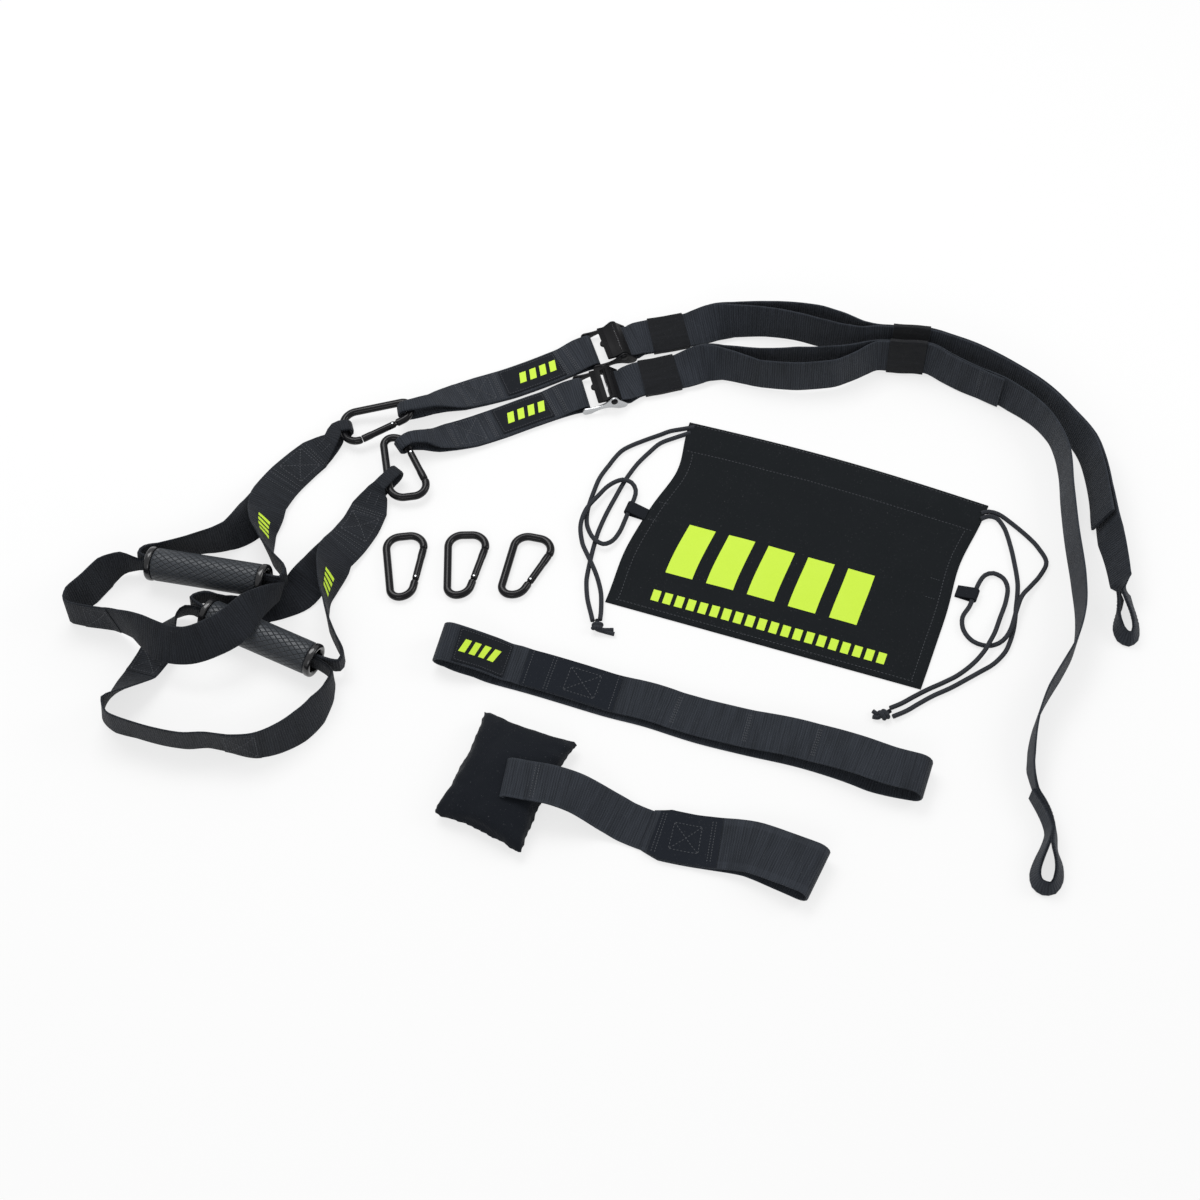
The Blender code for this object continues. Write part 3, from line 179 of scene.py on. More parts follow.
def build_ribbed_weave():
    """Webbing seen close: ribs across it, each crossing bundles of warp threads in turn."""
    group, taken, given = new_group(
        "ribbed_weave", {"Rib pitch": 0.0016, "Warp pitch": 0.0011, "Half width": 0.019},
        ("Height", "Shade", "Selvage"))
    do = partial(maths, group)
    split = group.nodes.new("ShaderNodeSeparateXYZ")
    group.links.new(taken["Vector"], split.inputs[0])
    along, across = split.outputs[:2]
    column = do("DIVIDE", across, taken["Warp pitch"])
    shift = do("MULTIPLY", do("MODULO", do("FLOOR", column), 2.0), 0.9)
    turns = do("MULTIPLY", do("DIVIDE", along, taken["Rib pitch"]), math.tau)
    rib = do("MULTIPLY_ADD", do("SINE", do("ADD", turns, shift)), 0.5, 0.5)
    bundle = do("ABSOLUTE", wave(group, column))
    height = do("MULTIPLY", do("POWER", rib, 0.7), do("POWER", bundle, 0.5))
    edge = do("DIVIDE", do("ABSOLUTE", across), taken["Half width"])
    group.links.new(height, given["Height"])
    # Painted shade: the webbing is coloured darker where its weave lies lower, between the ribs and the warp
    # bundles.
    group.links.new(do("MULTIPLY_ADD", height, 0.85, 0.15), given["Shade"])
    group.links.new(do("MULTIPLY", do("SUBTRACT", edge, 0.90), 14.0, clamp=True), given["Selvage"])
    return group


def build_plain_weave():
    """Cloth with threads over and under one another in both directions."""
    group, taken, given = new_group("plain_weave", {"Thread pitch": 0.0008}, ("Height", "Shade"))
    height = crossing(group, *in_pitches(group, taken["Vector"], taken["Thread pitch"]))
    group.links.new(height, given["Height"])
    # Painted shade: the cloth is coloured darker where its threads dip under one another.
    group.links.new(maths(group, "MULTIPLY_ADD", height, 0.4, 0.6), given["Shade"])
    return group


def build_handling():
    """What handling leaves: broad uneven shading and a few pale specks of lint."""
    group, taken, given = new_group(
        "handling", {"Patch scale": 14.0, "Speck scale": 900.0, "Speck limit": 0.70}, ("Patches", "Specks"))
    patches = noise_of(group, taken["Vector"], taken["Patch scale"], 4.0)
    specks = noise_of(group, taken["Vector"], taken["Speck scale"], 1.0)
    over = maths(group, "SUBTRACT", specks, taken["Speck limit"])
    group.links.new(patches, given["Patches"])
    group.links.new(maths(group, "MULTIPLY", over, 9.0, clamp=True), given["Specks"])
    return group


def build_painted_streaks_and_creases():
    """Noise for painted light and shade on webbing: fine pale streaks across it, and shallow creases that are
    also its bumps.
    """
    group, taken, given = new_group("painted_streaks_and_creases", {}, ("Painted streaks", "Creases"))
    for title, stretched, detail in (("Painted streaks", (460.0, 20.0, 1.0), 4.0), ("Creases", (62.0, 15.0, 1.0), 2.0)):
        scaled = group.nodes.new("ShaderNodeVectorMath")
        scaled.operation = "MULTIPLY"
        scaled.inputs[1].default_value = stretched
        group.links.new(taken["Vector"], scaled.inputs[0])
        group.links.new(noise_of(group, scaled.outputs[0], 1.0, detail), given[title])
    return group


def build_knurl():
    """Raised diamonds between two families of crossing grooves."""
    group, taken, given = new_group("knurl", {"Pitch": 0.0052}, ("Height", "Groove"))
    length, girth = in_pitches(group, taken["Vector"], taken["Pitch"])
    slope = maths(group, "MULTIPLY", length, 0.62)
    ridges = [maths(group, "ABSOLUTE", wave(group, maths(group, operation, slope, girth)))
              for operation in ("ADD", "SUBTRACT")]
    height = maths(group, "MULTIPLY", maths(group, "MINIMUM", *ridges), 2.4, clamp=True)
    group.links.new(height, given["Height"])
    group.links.new(maths(group, "SUBTRACT", 1.0, height), given["Groove"])
    return group


def build_braid():
    """The plaited sheath of a cord: strands that wind both ways round it."""
    group, taken, given = new_group("braid", {"Strand pitch": 0.0022}, ("Height", "Shade"))
    length, girth = in_pitches(group, taken["Vector"], taken["Strand pitch"])
    height = crossing(group, maths(group, "ADD", length, girth), maths(group, "SUBTRACT", length, girth))
    group.links.new(height, given["Height"])
    # Painted shade: the cord is coloured darker where its strands dip under one another.
    group.links.new(maths(group, "MULTIPLY_ADD", height, 0.5, 0.5), given["Shade"])
    return group


def build_metal_use():
    """Fine scratches and a slightly uneven polish."""
    group, taken, given = new_group("metal_use", {"Low": 0.15, "High": 0.3}, ("Roughness", "Height"))
    spread = maths(group, "SUBTRACT", taken["High"], taken["Low"])
    broad = noise_of(group, taken["Vector"], 90.0)
    group.links.new(maths(group, "MULTIPLY_ADD", broad, spread, taken["Low"]), given["Roughness"])
    group.links.new(noise_of(group, taken["Vector"], 1400.0, 2.0), given["Height"])
    return group


RIBBED_WEAVE = build_ribbed_weave()
PLAIN_WEAVE = build_plain_weave()
HANDLING = build_handling()
PAINTED_STREAKS_AND_CREASES = build_painted_streaks_and_creases()
KNURL = build_knurl()
BRAID = build_braid()
METAL_USE = build_metal_use()


# Materials

class Finish:
    """One material, with its Principled shader and short ways to add to it."""

    def __init__(self, name, roughness, metallic=0.0, specular=0.5, sheen=0.0, coat=0.0):
        self.material = bpy.data.materials.new(name)
        self.material.use_nodes = True
        self.tree = self.material.node_tree
        self.shader = self.tree.nodes["Principled BSDF"]
        for title, value in (("Roughness", roughness), ("Metallic", metallic),
                             ("Specular IOR Level", specular), ("Sheen Weight", sheen),
                             ("Sheen Roughness", 0.45), ("Coat Weight", coat), ("Coat Roughness", 0.08)):
            self.shader.inputs[title].default_value = value
        self.where = self.tree.nodes.new("ShaderNodeTexCoord")

    def group(self, built, source, **values):
        placed = self.tree.nodes.new("ShaderNodeGroup")
        placed.node_tree = built
        self.tree.links.new(self.where.outputs[source], placed.inputs["Vector"])
        for title, value in values.items():
            placed.inputs[title.replace("_", " ")].default_value = value
        return placed.outputs

    def mix(self, amount, first, second):
        """Mixes two colours, each a socket or three numbers."""
        made = self.tree.nodes.new("ShaderNodeMix")
        made.data_type = "RGBA"
        feed(self.tree, made.inputs[0], amount)
        for slot, colour in ((6, first), (7, second)):
            if isinstance(colour, tuple):
                made.inputs[slot].default_value = (*colour, 1.0)
            else:
                self.tree.links.new(colour, made.inputs[slot])
        return made.outputs[2]

    def over(self, shade, mask, share, colour):
        """Lays a colour over a shade by a mask and the mask's share."""
        return self.mix(maths(self.tree, "MULTIPLY", mask, share), shade, colour)

    def beyond(self, value, limit, gain):
        """How far a value passes a limit, times a gain, from 0 to 1."""
        return maths(self.tree, "MULTIPLY", maths(self.tree, "SUBTRACT", value, limit), gain, clamp=True)

    def colour(self, socket):
        self.tree.links.new(socket, self.shader.inputs["Base Color"])

    def roughness(self, socket, gain=None, base=0.0):
        if gain is not None:
            socket = maths(self.tree, "MULTIPLY_ADD", socket, gain, base)
        self.tree.links.new(socket, self.shader.inputs["Roughness"])

    def bump(self, height, strength, distance, under=None):
        made = self.tree.nodes.new("ShaderNodeBump")
        made.inputs["Strength"].default_value = strength
        made.inputs["Distance"].default_value = distance
        self.tree.links.new(height, made.inputs["Height"])
        if under is not None:
            self.tree.links.new(under, made.inputs["Normal"])
        self.tree.links.new(made.outputs[0], self.shader.inputs["Normal"])
        return made.outputs[0]


def webbing_finish(name, low, high, pale, rib=RIB_PITCH, half_width=HALF_WEB, sheen=0.06):
    made = Finish(name, 0.72, specular=0.2, sheen=sheen)
    weave = made.group(RIBBED_WEAVE, "UV", Rib_pitch=rib, Half_width=half_width)
    used = made.group(HANDLING, "Object")
    wear_and_painted_shading = made.group(PAINTED_STREAKS_AND_CREASES, "UV")
    # The weave's painted shade: darker between its ribs.
    shade = made.mix(weave["Shade"], low, high)
    shade = made.over(shade, weave["Selvage"], 0.35, pale)
    # Painted light and shade: pale streaks across the webbing stand in for light on small wrinkles, and the
    # creases are painted darker.
    lines = made.beyond(wear_and_painted_shading["Painted streaks"], 0.42, 3.4)
    shade = made.over(shade, lines, 0.4, tuple(1.3 * part for part in pale))
    shade = made.over(shade, made.beyond(0.52, wear_and_painted_shading["Creases"], 3.0), 0.6, low)
    shade = made.over(shade, made.beyond(used["Patches"], 0.42, 1.1), 0.45, pale)
    made.colour(made.over(shade, used["Specks"], 0.35, (0.16, 0.17, 0.18)))
    made.roughness(weave["Height"], -0.16, 0.80)
    under = made.bump(used["Patches"], 0.25, 0.004)
    under = made.bump(wear_and_painted_shading["Creases"], 0.35, 0.003, under)
    made.bump(weave["Height"], 0.8, 0.0005, under)
    return made.material


def cloth_finish(name, low, high, pale, pitch, source, sheen, strength=0.5):
    made = Finish(name, 0.86, specular=0.08, sheen=sheen)
    weave = made.group(PLAIN_WEAVE, source, Thread_pitch=pitch)
    used = made.group(HANDLING, "Object", Patch_scale=22.0)
    # The weave's painted shade: darker where its threads dip.
    shade = made.mix(weave["Shade"], low, high)
    shade = made.over(shade, made.beyond(used["Patches"], 0.45, 1.4), 0.4, pale)
    made.colour(made.over(shade, used["Specks"], 0.4, (0.15, 0.15, 0.16)))
    made.roughness(weave["Height"], -0.12, 0.92)
    under = made.bump(used["Patches"], 0.3, 0.003)
    made.bump(weave["Height"], strength, 0.0003, under)
    return made.material


def metal_finish(name, colour, wear_and_painted_shading, low, high, metallic, specular=0.5):
    made = Finish(name, high, metallic, specular)
    used = made.group(METAL_USE, "Object", Low=low, High=high)
    marks = made.group(HANDLING, "Object", Patch_scale=60.0, Speck_scale=2200.0)
    shade = made.over(colour, marks["Patches"], 0.5, wear_and_painted_shading)
    made.colour(made.over(shade, marks["Specks"], 0.3, wear_and_painted_shading))
    made.roughness(used["Roughness"])
    made.bump(used["Height"], 0.08, 0.0001)
    return made.material


def rubber_finish():
    made = Finish("knurled_rubber", 0.5, specular=0.5)
    knurl = made.group(KNURL, "UV")
    used = made.group(HANDLING, "Object", Patch_scale=30.0, Speck_limit=0.66)
    # Painted shade: the grooves are coloured dark and the raised diamonds lighter.
    shade = made.mix(knurl["Groove"], (0.023, 0.028, 0.035), (0.006, 0.007, 0.009))
    shade = made.over(shade, used["Patches"], 0.5, (0.034, 0.041, 0.051))
    made.colour(made.over(shade, used["Specks"], 0.5, (0.12, 0.12, 0.13)))
    made.roughness(knurl["Groove"], 0.25, 0.42)
    made.bump(knurl["Height"], 0.9, 0.0007)
    return made.material


def plastic_finish():
    made = Finish("gloss_plastic", 0.2, specular=0.5, coat=0.3)
    used = made.group(METAL_USE, "Object", Low=0.14, High=0.3)
    patches = made.group(HANDLING, "Object", Patch_scale=40.0)
    made.colour(made.mix(patches["Patches"], (0.008, 0.008, 0.009), (0.016, 0.016, 0.018)))
    made.roughness(used["Roughness"])
    made.bump(used["Height"], 0.05, 0.0001)
    return made.material


def fibre_finish(made, weave, low, high, rough, bump, wear_and_painted_shading=None):
    """Ends a finish of thread, cord or print: its weave with painted shade in the weave's dips, and broad
    patches left by handling when their scale, share and colour are given.
    """
    shade = made.mix(weave["Shade"], low, high)
    if wear_and_painted_shading:
        patch_scale, share, pale = wear_and_painted_shading
        used = made.group(HANDLING, "Object", Patch_scale=patch_scale)
        shade = made.over(shade, used["Patches"], share, pale)
    made.colour(shade)
    made.roughness(weave["Height"], *rough)
    made.bump(weave["Height"], *bump)
    return made.material


def cord_finish():
    made = Finish("braided_cord", 0.75, specular=0.15, sheen=0.04)
    return fibre_finish(made, made.group(BRAID, "UV"), (0.010, 0.011, 0.014), (0.030, 0.033, 0.040),
                        (-0.15, 0.82), (0.8, 0.0005), (14.0, 0.3, (0.036, 0.040, 0.046)))


def mark_finish():
    made = Finish("lime_mark", 0.6, specular=0.35)
    weave = made.group(PLAIN_WEAVE, "Object", Thread_pitch=0.0007)
    return fibre_finish(made, weave, (0.40, 0.60, 0.022), (0.58, 0.83, 0.045),
                        (-0.1, 0.66), (0.3, 0.0002), (60.0, 0.25, (0.62, 0.84, 0.09)))


def thread_finish():
    made = Finish("black_thread", 0.6, specular=0.4, sheen=0.2)
    braid = made.group(BRAID, "Object", Strand_pitch=0.0006)
    return fibre_finish(made, braid, (0.012, 0.013, 0.017), (0.050, 0.055, 0.066),
                        (-0.1, 0.66), (0.4, 0.0002))


webbing = webbing_finish("charcoal_webbing", (0.006, 0.008, 0.011), (0.026, 0.031, 0.041),
                         (0.036, 0.042, 0.054))
handle_webbing = webbing_finish("soft_black_webbing", (0.004, 0.005, 0.007), (0.015, 0.018, 0.024),
                                (0.023, 0.027, 0.035), sheen=0.05)
velour = cloth_finish("velour_patch", (0.005, 0.006, 0.009), (0.013, 0.016, 0.022),
                      (0.022, 0.025, 0.032), 0.0009, "UV", 0.12)
elastic = webbing_finish("elastic_band", (0.003, 0.004, 0.005), (0.008, 0.009, 0.012),
                         (0.012, 0.013, 0.017), 0.0009, 0.3, 0.05)
label_cloth = cloth_finish("label_cloth", (0.006, 0.007, 0.009), (0.014, 0.016, 0.020),
                           (0.020, 0.023, 0.028), 0.0005, "UV", 0.03)
bag_cloth = cloth_finish("bag_cloth", (0.005, 0.006, 0.007), (0.010, 0.012, 0.014),
                         (0.016, 0.018, 0.021), 0.0008, "Object", 0.03, 0.35)
pad_cloth = cloth_finish("pad_cloth", (0.004, 0.005, 0.007), (0.009, 0.011, 0.015),
                         (0.016, 0.019, 0.024), 0.0009, "Object", 0.10)
braided_cord = cord_finish()
gloss_black = metal_finish("gloss_black_alloy", (0.006, 0.006, 0.007), (0.014, 0.014, 0.016),
                           0.10, 0.20, 0.0, 0.2)
black_steel = metal_finish("satin_black_steel", (0.006, 0.006, 0.007), (0.016, 0.016, 0.018),
                           0.30, 0.46, 0.0, 0.14)
cast_black = metal_finish("cast_black_alloy", (0.004, 0.004, 0.005), (0.010, 0.010, 0.011),
                          0.45, 0.62, 0.0, 0.12)
# Bare steel for the carabiners' rivets. On the front buckle's near cheek it is a painted reflection of the
# pale floor on the outer face.
bare_steel = metal_finish("bare_steel", (0.42, 0.43, 0.44), (0.60, 0.61, 0.62), 0.20, 0.36, 1.0)
spring_steel = metal_finish("spring_steel", (0.30, 0.30, 0.31), (0.46, 0.46, 0.47), 0.18, 0.34, 1.0)
knurled_rubber = rubber_finish()
gloss_plastic = plastic_finish()
lime_mark = mark_finish()
black_thread = thread_finish()


# Finished pieces

def add_shape(bm, shape):
    """Adds one bmesh to another and frees it."""
    mesh = bpy.data.meshes.new("shape")
    shape.to_mesh(mesh)
    shape.free()
    bm.from_mesh(mesh)
    bpy.data.meshes.remove(mesh)


def grid_spots(bm, rows, columns):
    """A flat grid in a bmesh, and each vertex's row and column in it."""
    bmesh.ops.create_grid(bm, x_segments=rows, y_segments=columns, size=0.5)
    return {vert: (round((vert.co.x + 0.5) * rows), round((vert.co.y + 0.5) * columns)) for vert in bm.verts}


def lay_uv(bm, layer_of, spots, place):
    """Gives each corner the UV place of its spot."""
    for face in bm.faces:
        for loop in face.loops:
            loop[layer_of].uv = place(*spots[loop.vert])


def close_skin(bm, ends=True):
    """Joins the seam of a wrapped grid, caps its ends and turns its faces outwards."""
    bmesh.ops.remove_doubles(bm, verts=bm.verts, dist=0.0005)
    if ends:
        bmesh.ops.holes_fill(bm, edges=[edge for edge in bm.edges if edge.is_boundary], sides=0)
    bmesh.ops.recalc_face_normals(bm, faces=bm.faces)


def finish_piece(name, bm, finish, body, nodes=(), smooth_angle=40.0):
    """Moves a bmesh from millimetres on the plan to its place, and makes it a piece on its body."""
    bmesh.ops.translate(bm, verts=bm.verts, vec=-LAYOUT_CENTRE)
    bmesh.ops.scale(bm, verts=bm.verts, vec=(MM, MM, MM))
    bmesh.ops.recalc_face_normals(bm, faces=bm.faces)
    mesh = bpy.data.meshes.new(name)
    bm.to_mesh(mesh)
    bm.free()
    mesh.shade_smooth()
    mesh.set_sharp_from_angle(angle=math.radians(smooth_angle))
    mesh.materials.append(finish)
    made = link(name, mesh)
    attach(made, body)
    if nodes:
        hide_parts(*nodes)
    return made


# Routes of the straps, the same as the solids follow

def arc(centre, radius, start, stop, steps):
    """Points on an arc between two angles in degrees."""
    angles = [math.radians(start + (stop - start) * i / steps) for i in range(steps + 1)]
    return [(centre[0] + radius * math.cos(a), centre[1] + radius * math.sin(a)) for a in angles]


def level(direction):
    """A direction turned level, of length one."""
    return Vector((direction.x, direction.y, 0.0)).normalized()


def smooth(knots, ring, pitch):
    """Reads stations from a smooth curve through the knots, about one pitch apart."""
    count = len(knots)
    points = [knot[0] for knot in knots]

    def neighbour(i):
        return points[i % count] if ring else points[min(max(i, 0), count - 1)]

    def heading(i):
        before, after = neighbour(i - 1), neighbour(i + 1)
        span = (points[i % count] - before).length + (after - points[i % count]).length
        return (after - before) / span

    stations = []
    for i in range(count if ring else count - 1):
        start, end = knots[i], knots[(i + 1) % count]
        length = (end[0] - start[0]).length
        steps = max(1, round(length / pitch))
        for j in range(steps):
            u = j / steps
            u2, u3 = u * u, u * u * u
            point = (start[0] * (2 * u3 - 3 * u2 + 1) + end[0] * (3 * u2 - 2 * u3)
                     + heading(i) * (length * (u3 - 2 * u2 + u))
                     + heading(i + 1) * (length * (u3 - u2)))
            stations.append((point, *(start[k] * (1 - u) + end[k] * u for k in (1, 2, 3))))
    if not ring:
        stations.append(knots[-1])
    return stations


def frames(stations, ring):
    """Adds the square normal of the webbing to each station."""
    count = len(stations)
    framed = []
    for i, (point, across, width, thick) in enumerate(stations):
        before = stations[i - 1][0] if ring or i else point
        after = stations[(i + 1) % count][0] if ring or i < count - 1 else point
        along = (after - before).normalized()
        across = (across - along * across.dot(along)).normalized()
        framed.append((point, across, along.cross(across), width, thick))
    return framed


def run(points):
    """Lays a strap on the surface along (x, y, lean, width, gap, lift) points.

    The lean is in degrees from flat, the gap is between the middles of two plies, and the lift is above
    the surface.
    """
    plan = [(Vector((x, y, lift)), lean, width, gap) for x, y, lean, width, gap, lift in points]
    placed = smooth(plan, False, 12.0)
    last = len(placed) - 1
    laid = []
    for i, (point, lean, width, gap) in enumerate(placed):
        along = level(placed[min(i + 1, last)][0] - placed[max(i - 1, 0)][0])
        angle = math.radians(lean)
        across = UP.cross(along) * math.cos(angle) + UP * math.sin(angle)
        rise = width / 2 * abs(math.sin(angle)) + (gap + SKIN) / 2 * abs(math.cos(angle))
        height = max(point.z, 0.0) + 0.1 + rise
        laid.append((Vector((point.x, point.y, height)), across, width, gap))
    return frames(laid, False)


def layer(placed, side, thick=SKIN):
    """Knots of one ply of a laid strap: the lower one, the middle or the upper one (-1, 0 or 1)."""
    return [(point + normal * (gap / 2 * side), across, width, thick)
            for point, across, normal, width, gap in placed]


def thicker(knots, thick, count, at_end=True):
    """The knots with another thickness at their last or first few."""
    changed = []
    for i, (point, across, width, old) in enumerate(knots):
        inside = i >= len(knots) - count if at_end else i < count
        changed.append((point, across, width, thick if inside else old))
    return changed


def turn(centre, outward, across, radius, width, thick, start=-90.0, stop=90.0, steps=8):
    """Knots round a bar, from below to above on the outward side."""
    rise = across.cross(outward).normalized()
    if rise.z < 0:
        rise = -rise
    knots = []
    for i in range(steps + 1):
        angle = math.radians(start + (stop - start) * i / steps)
        reach = outward * math.cos(angle) + rise * math.sin(angle)
        knots.append((centre + reach * radius, across, width, thick))
    return knots


# Webbing

def section_points(width, thick, fold):
    """Half of a strap's section, from its left edge over the top to its right edge.

    Both edges are rounded. Folded webbing has two plies, and a crease shows between them on the right.
    """
    half = width / 2
    round_off = min(thick / 2, half * 0.8)
    arcs = [math.radians(a) for a in (0, 30, 60, 90)]
    left = [(-(half - round_off) - round_off * math.cos(a), thick / 2 * math.sin(a)) for a in arcs]
    flat = half - round_off
    crown = [(-flat + 2 * flat * k / 6, thick / 2) for k in range(1, 6)]
    right = [(-a, b) for a, b in reversed(left)]
    if fold > 0.0:
        right[-1] = (half - 1.7 * fold, 0.0)
    return left + crown + right


def strip(knots, ring=False, pitch=WEB_PITCH, waver=0.22, seed=0.0):
    """Webbing as a grid drawn along its stations and closed round its section, with its length in UV."""
    stations = frames(smooth(knots, ring, pitch), ring)
    count = len(stations)
    rows = count if ring else count - 1
    lengths = [0.0]
    for i in range(rows):
        lengths.append(lengths[-1] + (stations[(i + 1) % count][0] - stations[i][0]).length)
    bm = bmesh.new()
    sheet_uv = bm.loops.layers.uv.new("UVMap")
    spots = grid_spots(bm, rows, AROUND)
    sections = []
    for *_, width, thick in stations:
        fold = min(1.0, max(0.0, (33.0 - width) / 9.0)) * min(1.0, max(0.0, (thick - 1.9) / 1.2))
        top = section_points(width, thick, fold)
        sections.append(top + [(a, -b) for a, b in reversed(top[1:-1])] + [top[0]])
    for vert, (i, j) in spots.items():
        point, across, normal, _, _ = stations[i % count]
        a, b = sections[i % count][j]
        drift = noise.noise(point * 0.022 + Vector((seed, a * 0.018, 0.0))) * waver
        vert.co = point + across * a + normal * (b + drift)
    lay_uv(bm, sheet_uv, spots, lambda i, j: (lengths[i] * MM, sections[i % count][j][0] * MM))
    close_skin(bm, not ring)
    return bm


class Surface:
    """The outer face of one layer of a strap, read by distance along it and across it."""

    def __init__(self, knots, side=1.0, ring=False):
        self.side = side
        self.stations = frames(smooth(knots, ring, WEB_PITCH), ring)
        self.lengths = [0.0]
        for first, second in zip(self.stations, self.stations[1:]):
            self.lengths.append(self.lengths[-1] + (second[0] - first[0]).length)
        self.length = self.lengths[-1]

    def at(self, distance, aside, lift=0.0):
        """The point there, and the directions along, across and outwards."""
        distance = min(max(distance, 0.0), self.length - 0.001)
        i = 0
        while self.lengths[i + 1] < distance:
            i += 1
        u = (distance - self.lengths[i]) / (self.lengths[i + 1] - self.lengths[i])
        first, second = self.stations[i], self.stations[i + 1]
        point = first[0].lerp(second[0], u)
        across = first[1].lerp(second[1], u).normalized()
        normal = first[2].lerp(second[2], u).normalized()
        thick = first[4] * (1 - u) + second[4] * u
        width = first[3] * (1 - u) + second[3] * u
        reach = width / 2 - 0.8
        aside = min(max(aside, -reach), reach)
        along = (second[0] - first[0]).normalized()
        out = normal * self.side
        return point + across * aside + out * (thick / 2 + lift), along, across, out


def stitch_row(bm, surface, start, stop, pitch=3.4, thick=0.42):
    """A row of stitches on a surface between two (distance, aside) points."""
    span = math.hypot(stop[0] - start[0], stop[1] - start[1])
    count = max(1, round(span / pitch))
    for k in range(count):
        first, last = (surface.at(start[0] + (stop[0] - start[0]) * u,
                                  start[1] + (stop[1] - start[1]) * u, 0.12)
                       for u in ((k + 0.12) / count, (k + 0.88) / count))
        heading = last[0] - first[0]
        length = heading.length
        if length < 0.4:
            continue
        heading.normalize()
        out = (first[3] - heading * first[3].dot(heading)).normalized()
        turned_to = Matrix((heading, out.cross(heading), out)).transposed().to_4x4()
        made = bmesh.ops.create_icosphere(bm, subdivisions=1, radius=1.0)
        bmesh.ops.scale(bm, verts=made["verts"], vec=(length / 2, thick, thick * 0.7))
        bmesh.ops.transform(bm, verts=made["verts"],
                            matrix=Matrix.Translation((first[0] + last[0]) / 2) @ turned_to)


def box_stitch(bm, surface, start, stop, half):
    """A sewn rectangle across a strap with its two diagonals."""
    corners = [(start, -half), (stop, -half), (stop, half), (start, half)]
    for a, b in (*zip(corners, corners[1:] + corners[:1]), corners[::2], corners[1::2]):
        stitch_row(bm, surface, a, b)


def bar_tack(bm, surface, distance, half, rows=3, spread=1.6):
    """Close rows of stitching straight across a strap."""
    for k in range(rows):
        at = distance + (k - (rows - 1) / 2) * spread
        stitch_row(bm, surface, (at, -half), (at, half), 2.6)


def patch(surface, start, stop, low, high, thick, skew=0.0, lift=0.0, columns=10, rows=4):
    """A thin flat piece lying on a surface, its ends slanted by skew."""
    bm = bmesh.new()
    sheet_uv = bm.loops.layers.uv.new("UVMap")
    bmesh.ops.create_grid(bm, x_segments=columns, y_segments=rows, size=0.5)
    flat = {vert: (vert.co.x + 0.5, vert.co.y + 0.5) for vert in bm.verts}
    lay_uv(bm, sheet_uv, flat,
           lambda u, v: ((start + (stop - start) * u) * MM, (low + (high - low) * v) * MM))

    def seat(u, v):
        point, _, _, out = surface.at(start + (stop - start) * u + skew * (v - 0.5),
                                      low + (high - low) * v, lift)
        return point, out

    outward = Vector()
    for vert, spot in flat.items():
        vert.co, out = seat(*spot)
        outward += out
    bmesh.ops.recalc_face_normals(bm, faces=bm.faces)
    if sum((face.normal for face in bm.faces), Vector()).dot(outward) < 0:
        bmesh.ops.reverse_faces(bm, faces=bm.faces)
    came_from = {tuple(vert.co): spot for vert, spot in flat.items()}
    skin = bmesh.ops.extrude_face_region(bm, geom=bm.faces[:])
    for vert in [item for item in skin["geom"] if isinstance(item, bmesh.types.BMVert)]:
        vert.co += seat(*came_from[tuple(vert.co)])[1] * thick
    return bm


def bar_row(name, surface, place, count, share, thick, slant, lift, grid, body):
    """A row of plain lime bars, printed or woven on a surface from start to stop and low to high."""
    start, stop, low, high = place
    bm = bmesh.new()
    pitch = (stop - start) / count
    skew = (high - low) * slant
    for k in range(count):
        at = start + pitch * k
        add_shape(bm, patch(surface, at, at + pitch * share, low, high, thick, skew, lift, *grid))
    finish_piece(name, bm, lime_mark, body)


def slanted_bars(name, surface, place, body, lift):
    bar_row(name, surface, place, 4, 0.62, 0.14, 0.32, lift, (3, 4), body)


def label_on(name, surface, start, stop, half, body, bars):
    """A woven label: black ground, sewn border and a row of plain bars (from, to, low, high)."""
    ground = patch(surface, start, stop, -half, half, LABEL_SKIN, 0.0, LABEL_LIFT, 14, 8)
    finish_piece(f"{name}_ground", ground, label_cloth, body, [name])
    bm = bmesh.new()
    raised = Lifted(surface, LABEL_LIFT + LABEL_SKIN)
    left, right, low, high = start + LABEL_HEM, stop - LABEL_HEM, LABEL_HEM - half, half - LABEL_HEM
    for a, b in (((left, low), (right, low)), ((left, high), (right, high)),
                 ((left, low), (left, high)), ((right, low), (right, high))):
        stitch_row(bm, raised, a, b, 2.6, 0.32)
    finish_piece(f"{name}_stitching", bm, black_thread, body)
    slanted_bars(f"{name}_bars", surface, bars, body, LABEL_LIFT + LABEL_SKIN + 0.02)


class Lifted:
    """A surface read a little further out, for what is sewn on top of something."""

    def __init__(self, surface, lift):
        self.surface = surface
        self.lift = lift

    def at(self, distance, aside, lift=0.0):
        return self.surface.at(distance, aside, lift + self.lift)


def stretch(stations, start, stop):
    """The stations of a strap between two distances along it, with one more at either end."""
    picked = []
    travelled = 0.0
    for first, second in zip(stations, stations[1:]):
        length = (second[0] - first[0]).length
        for mark in (start, stop):
            if travelled <= mark < travelled + length:
                u = (mark - travelled) / length
                picked.append(tuple(a * (1 - u) + b * u for a, b in zip(first[:4], second[:4])))
        travelled += length
        if start + 1.5 < travelled < stop - 1.5:
            picked.append(second[:4])
    return picked


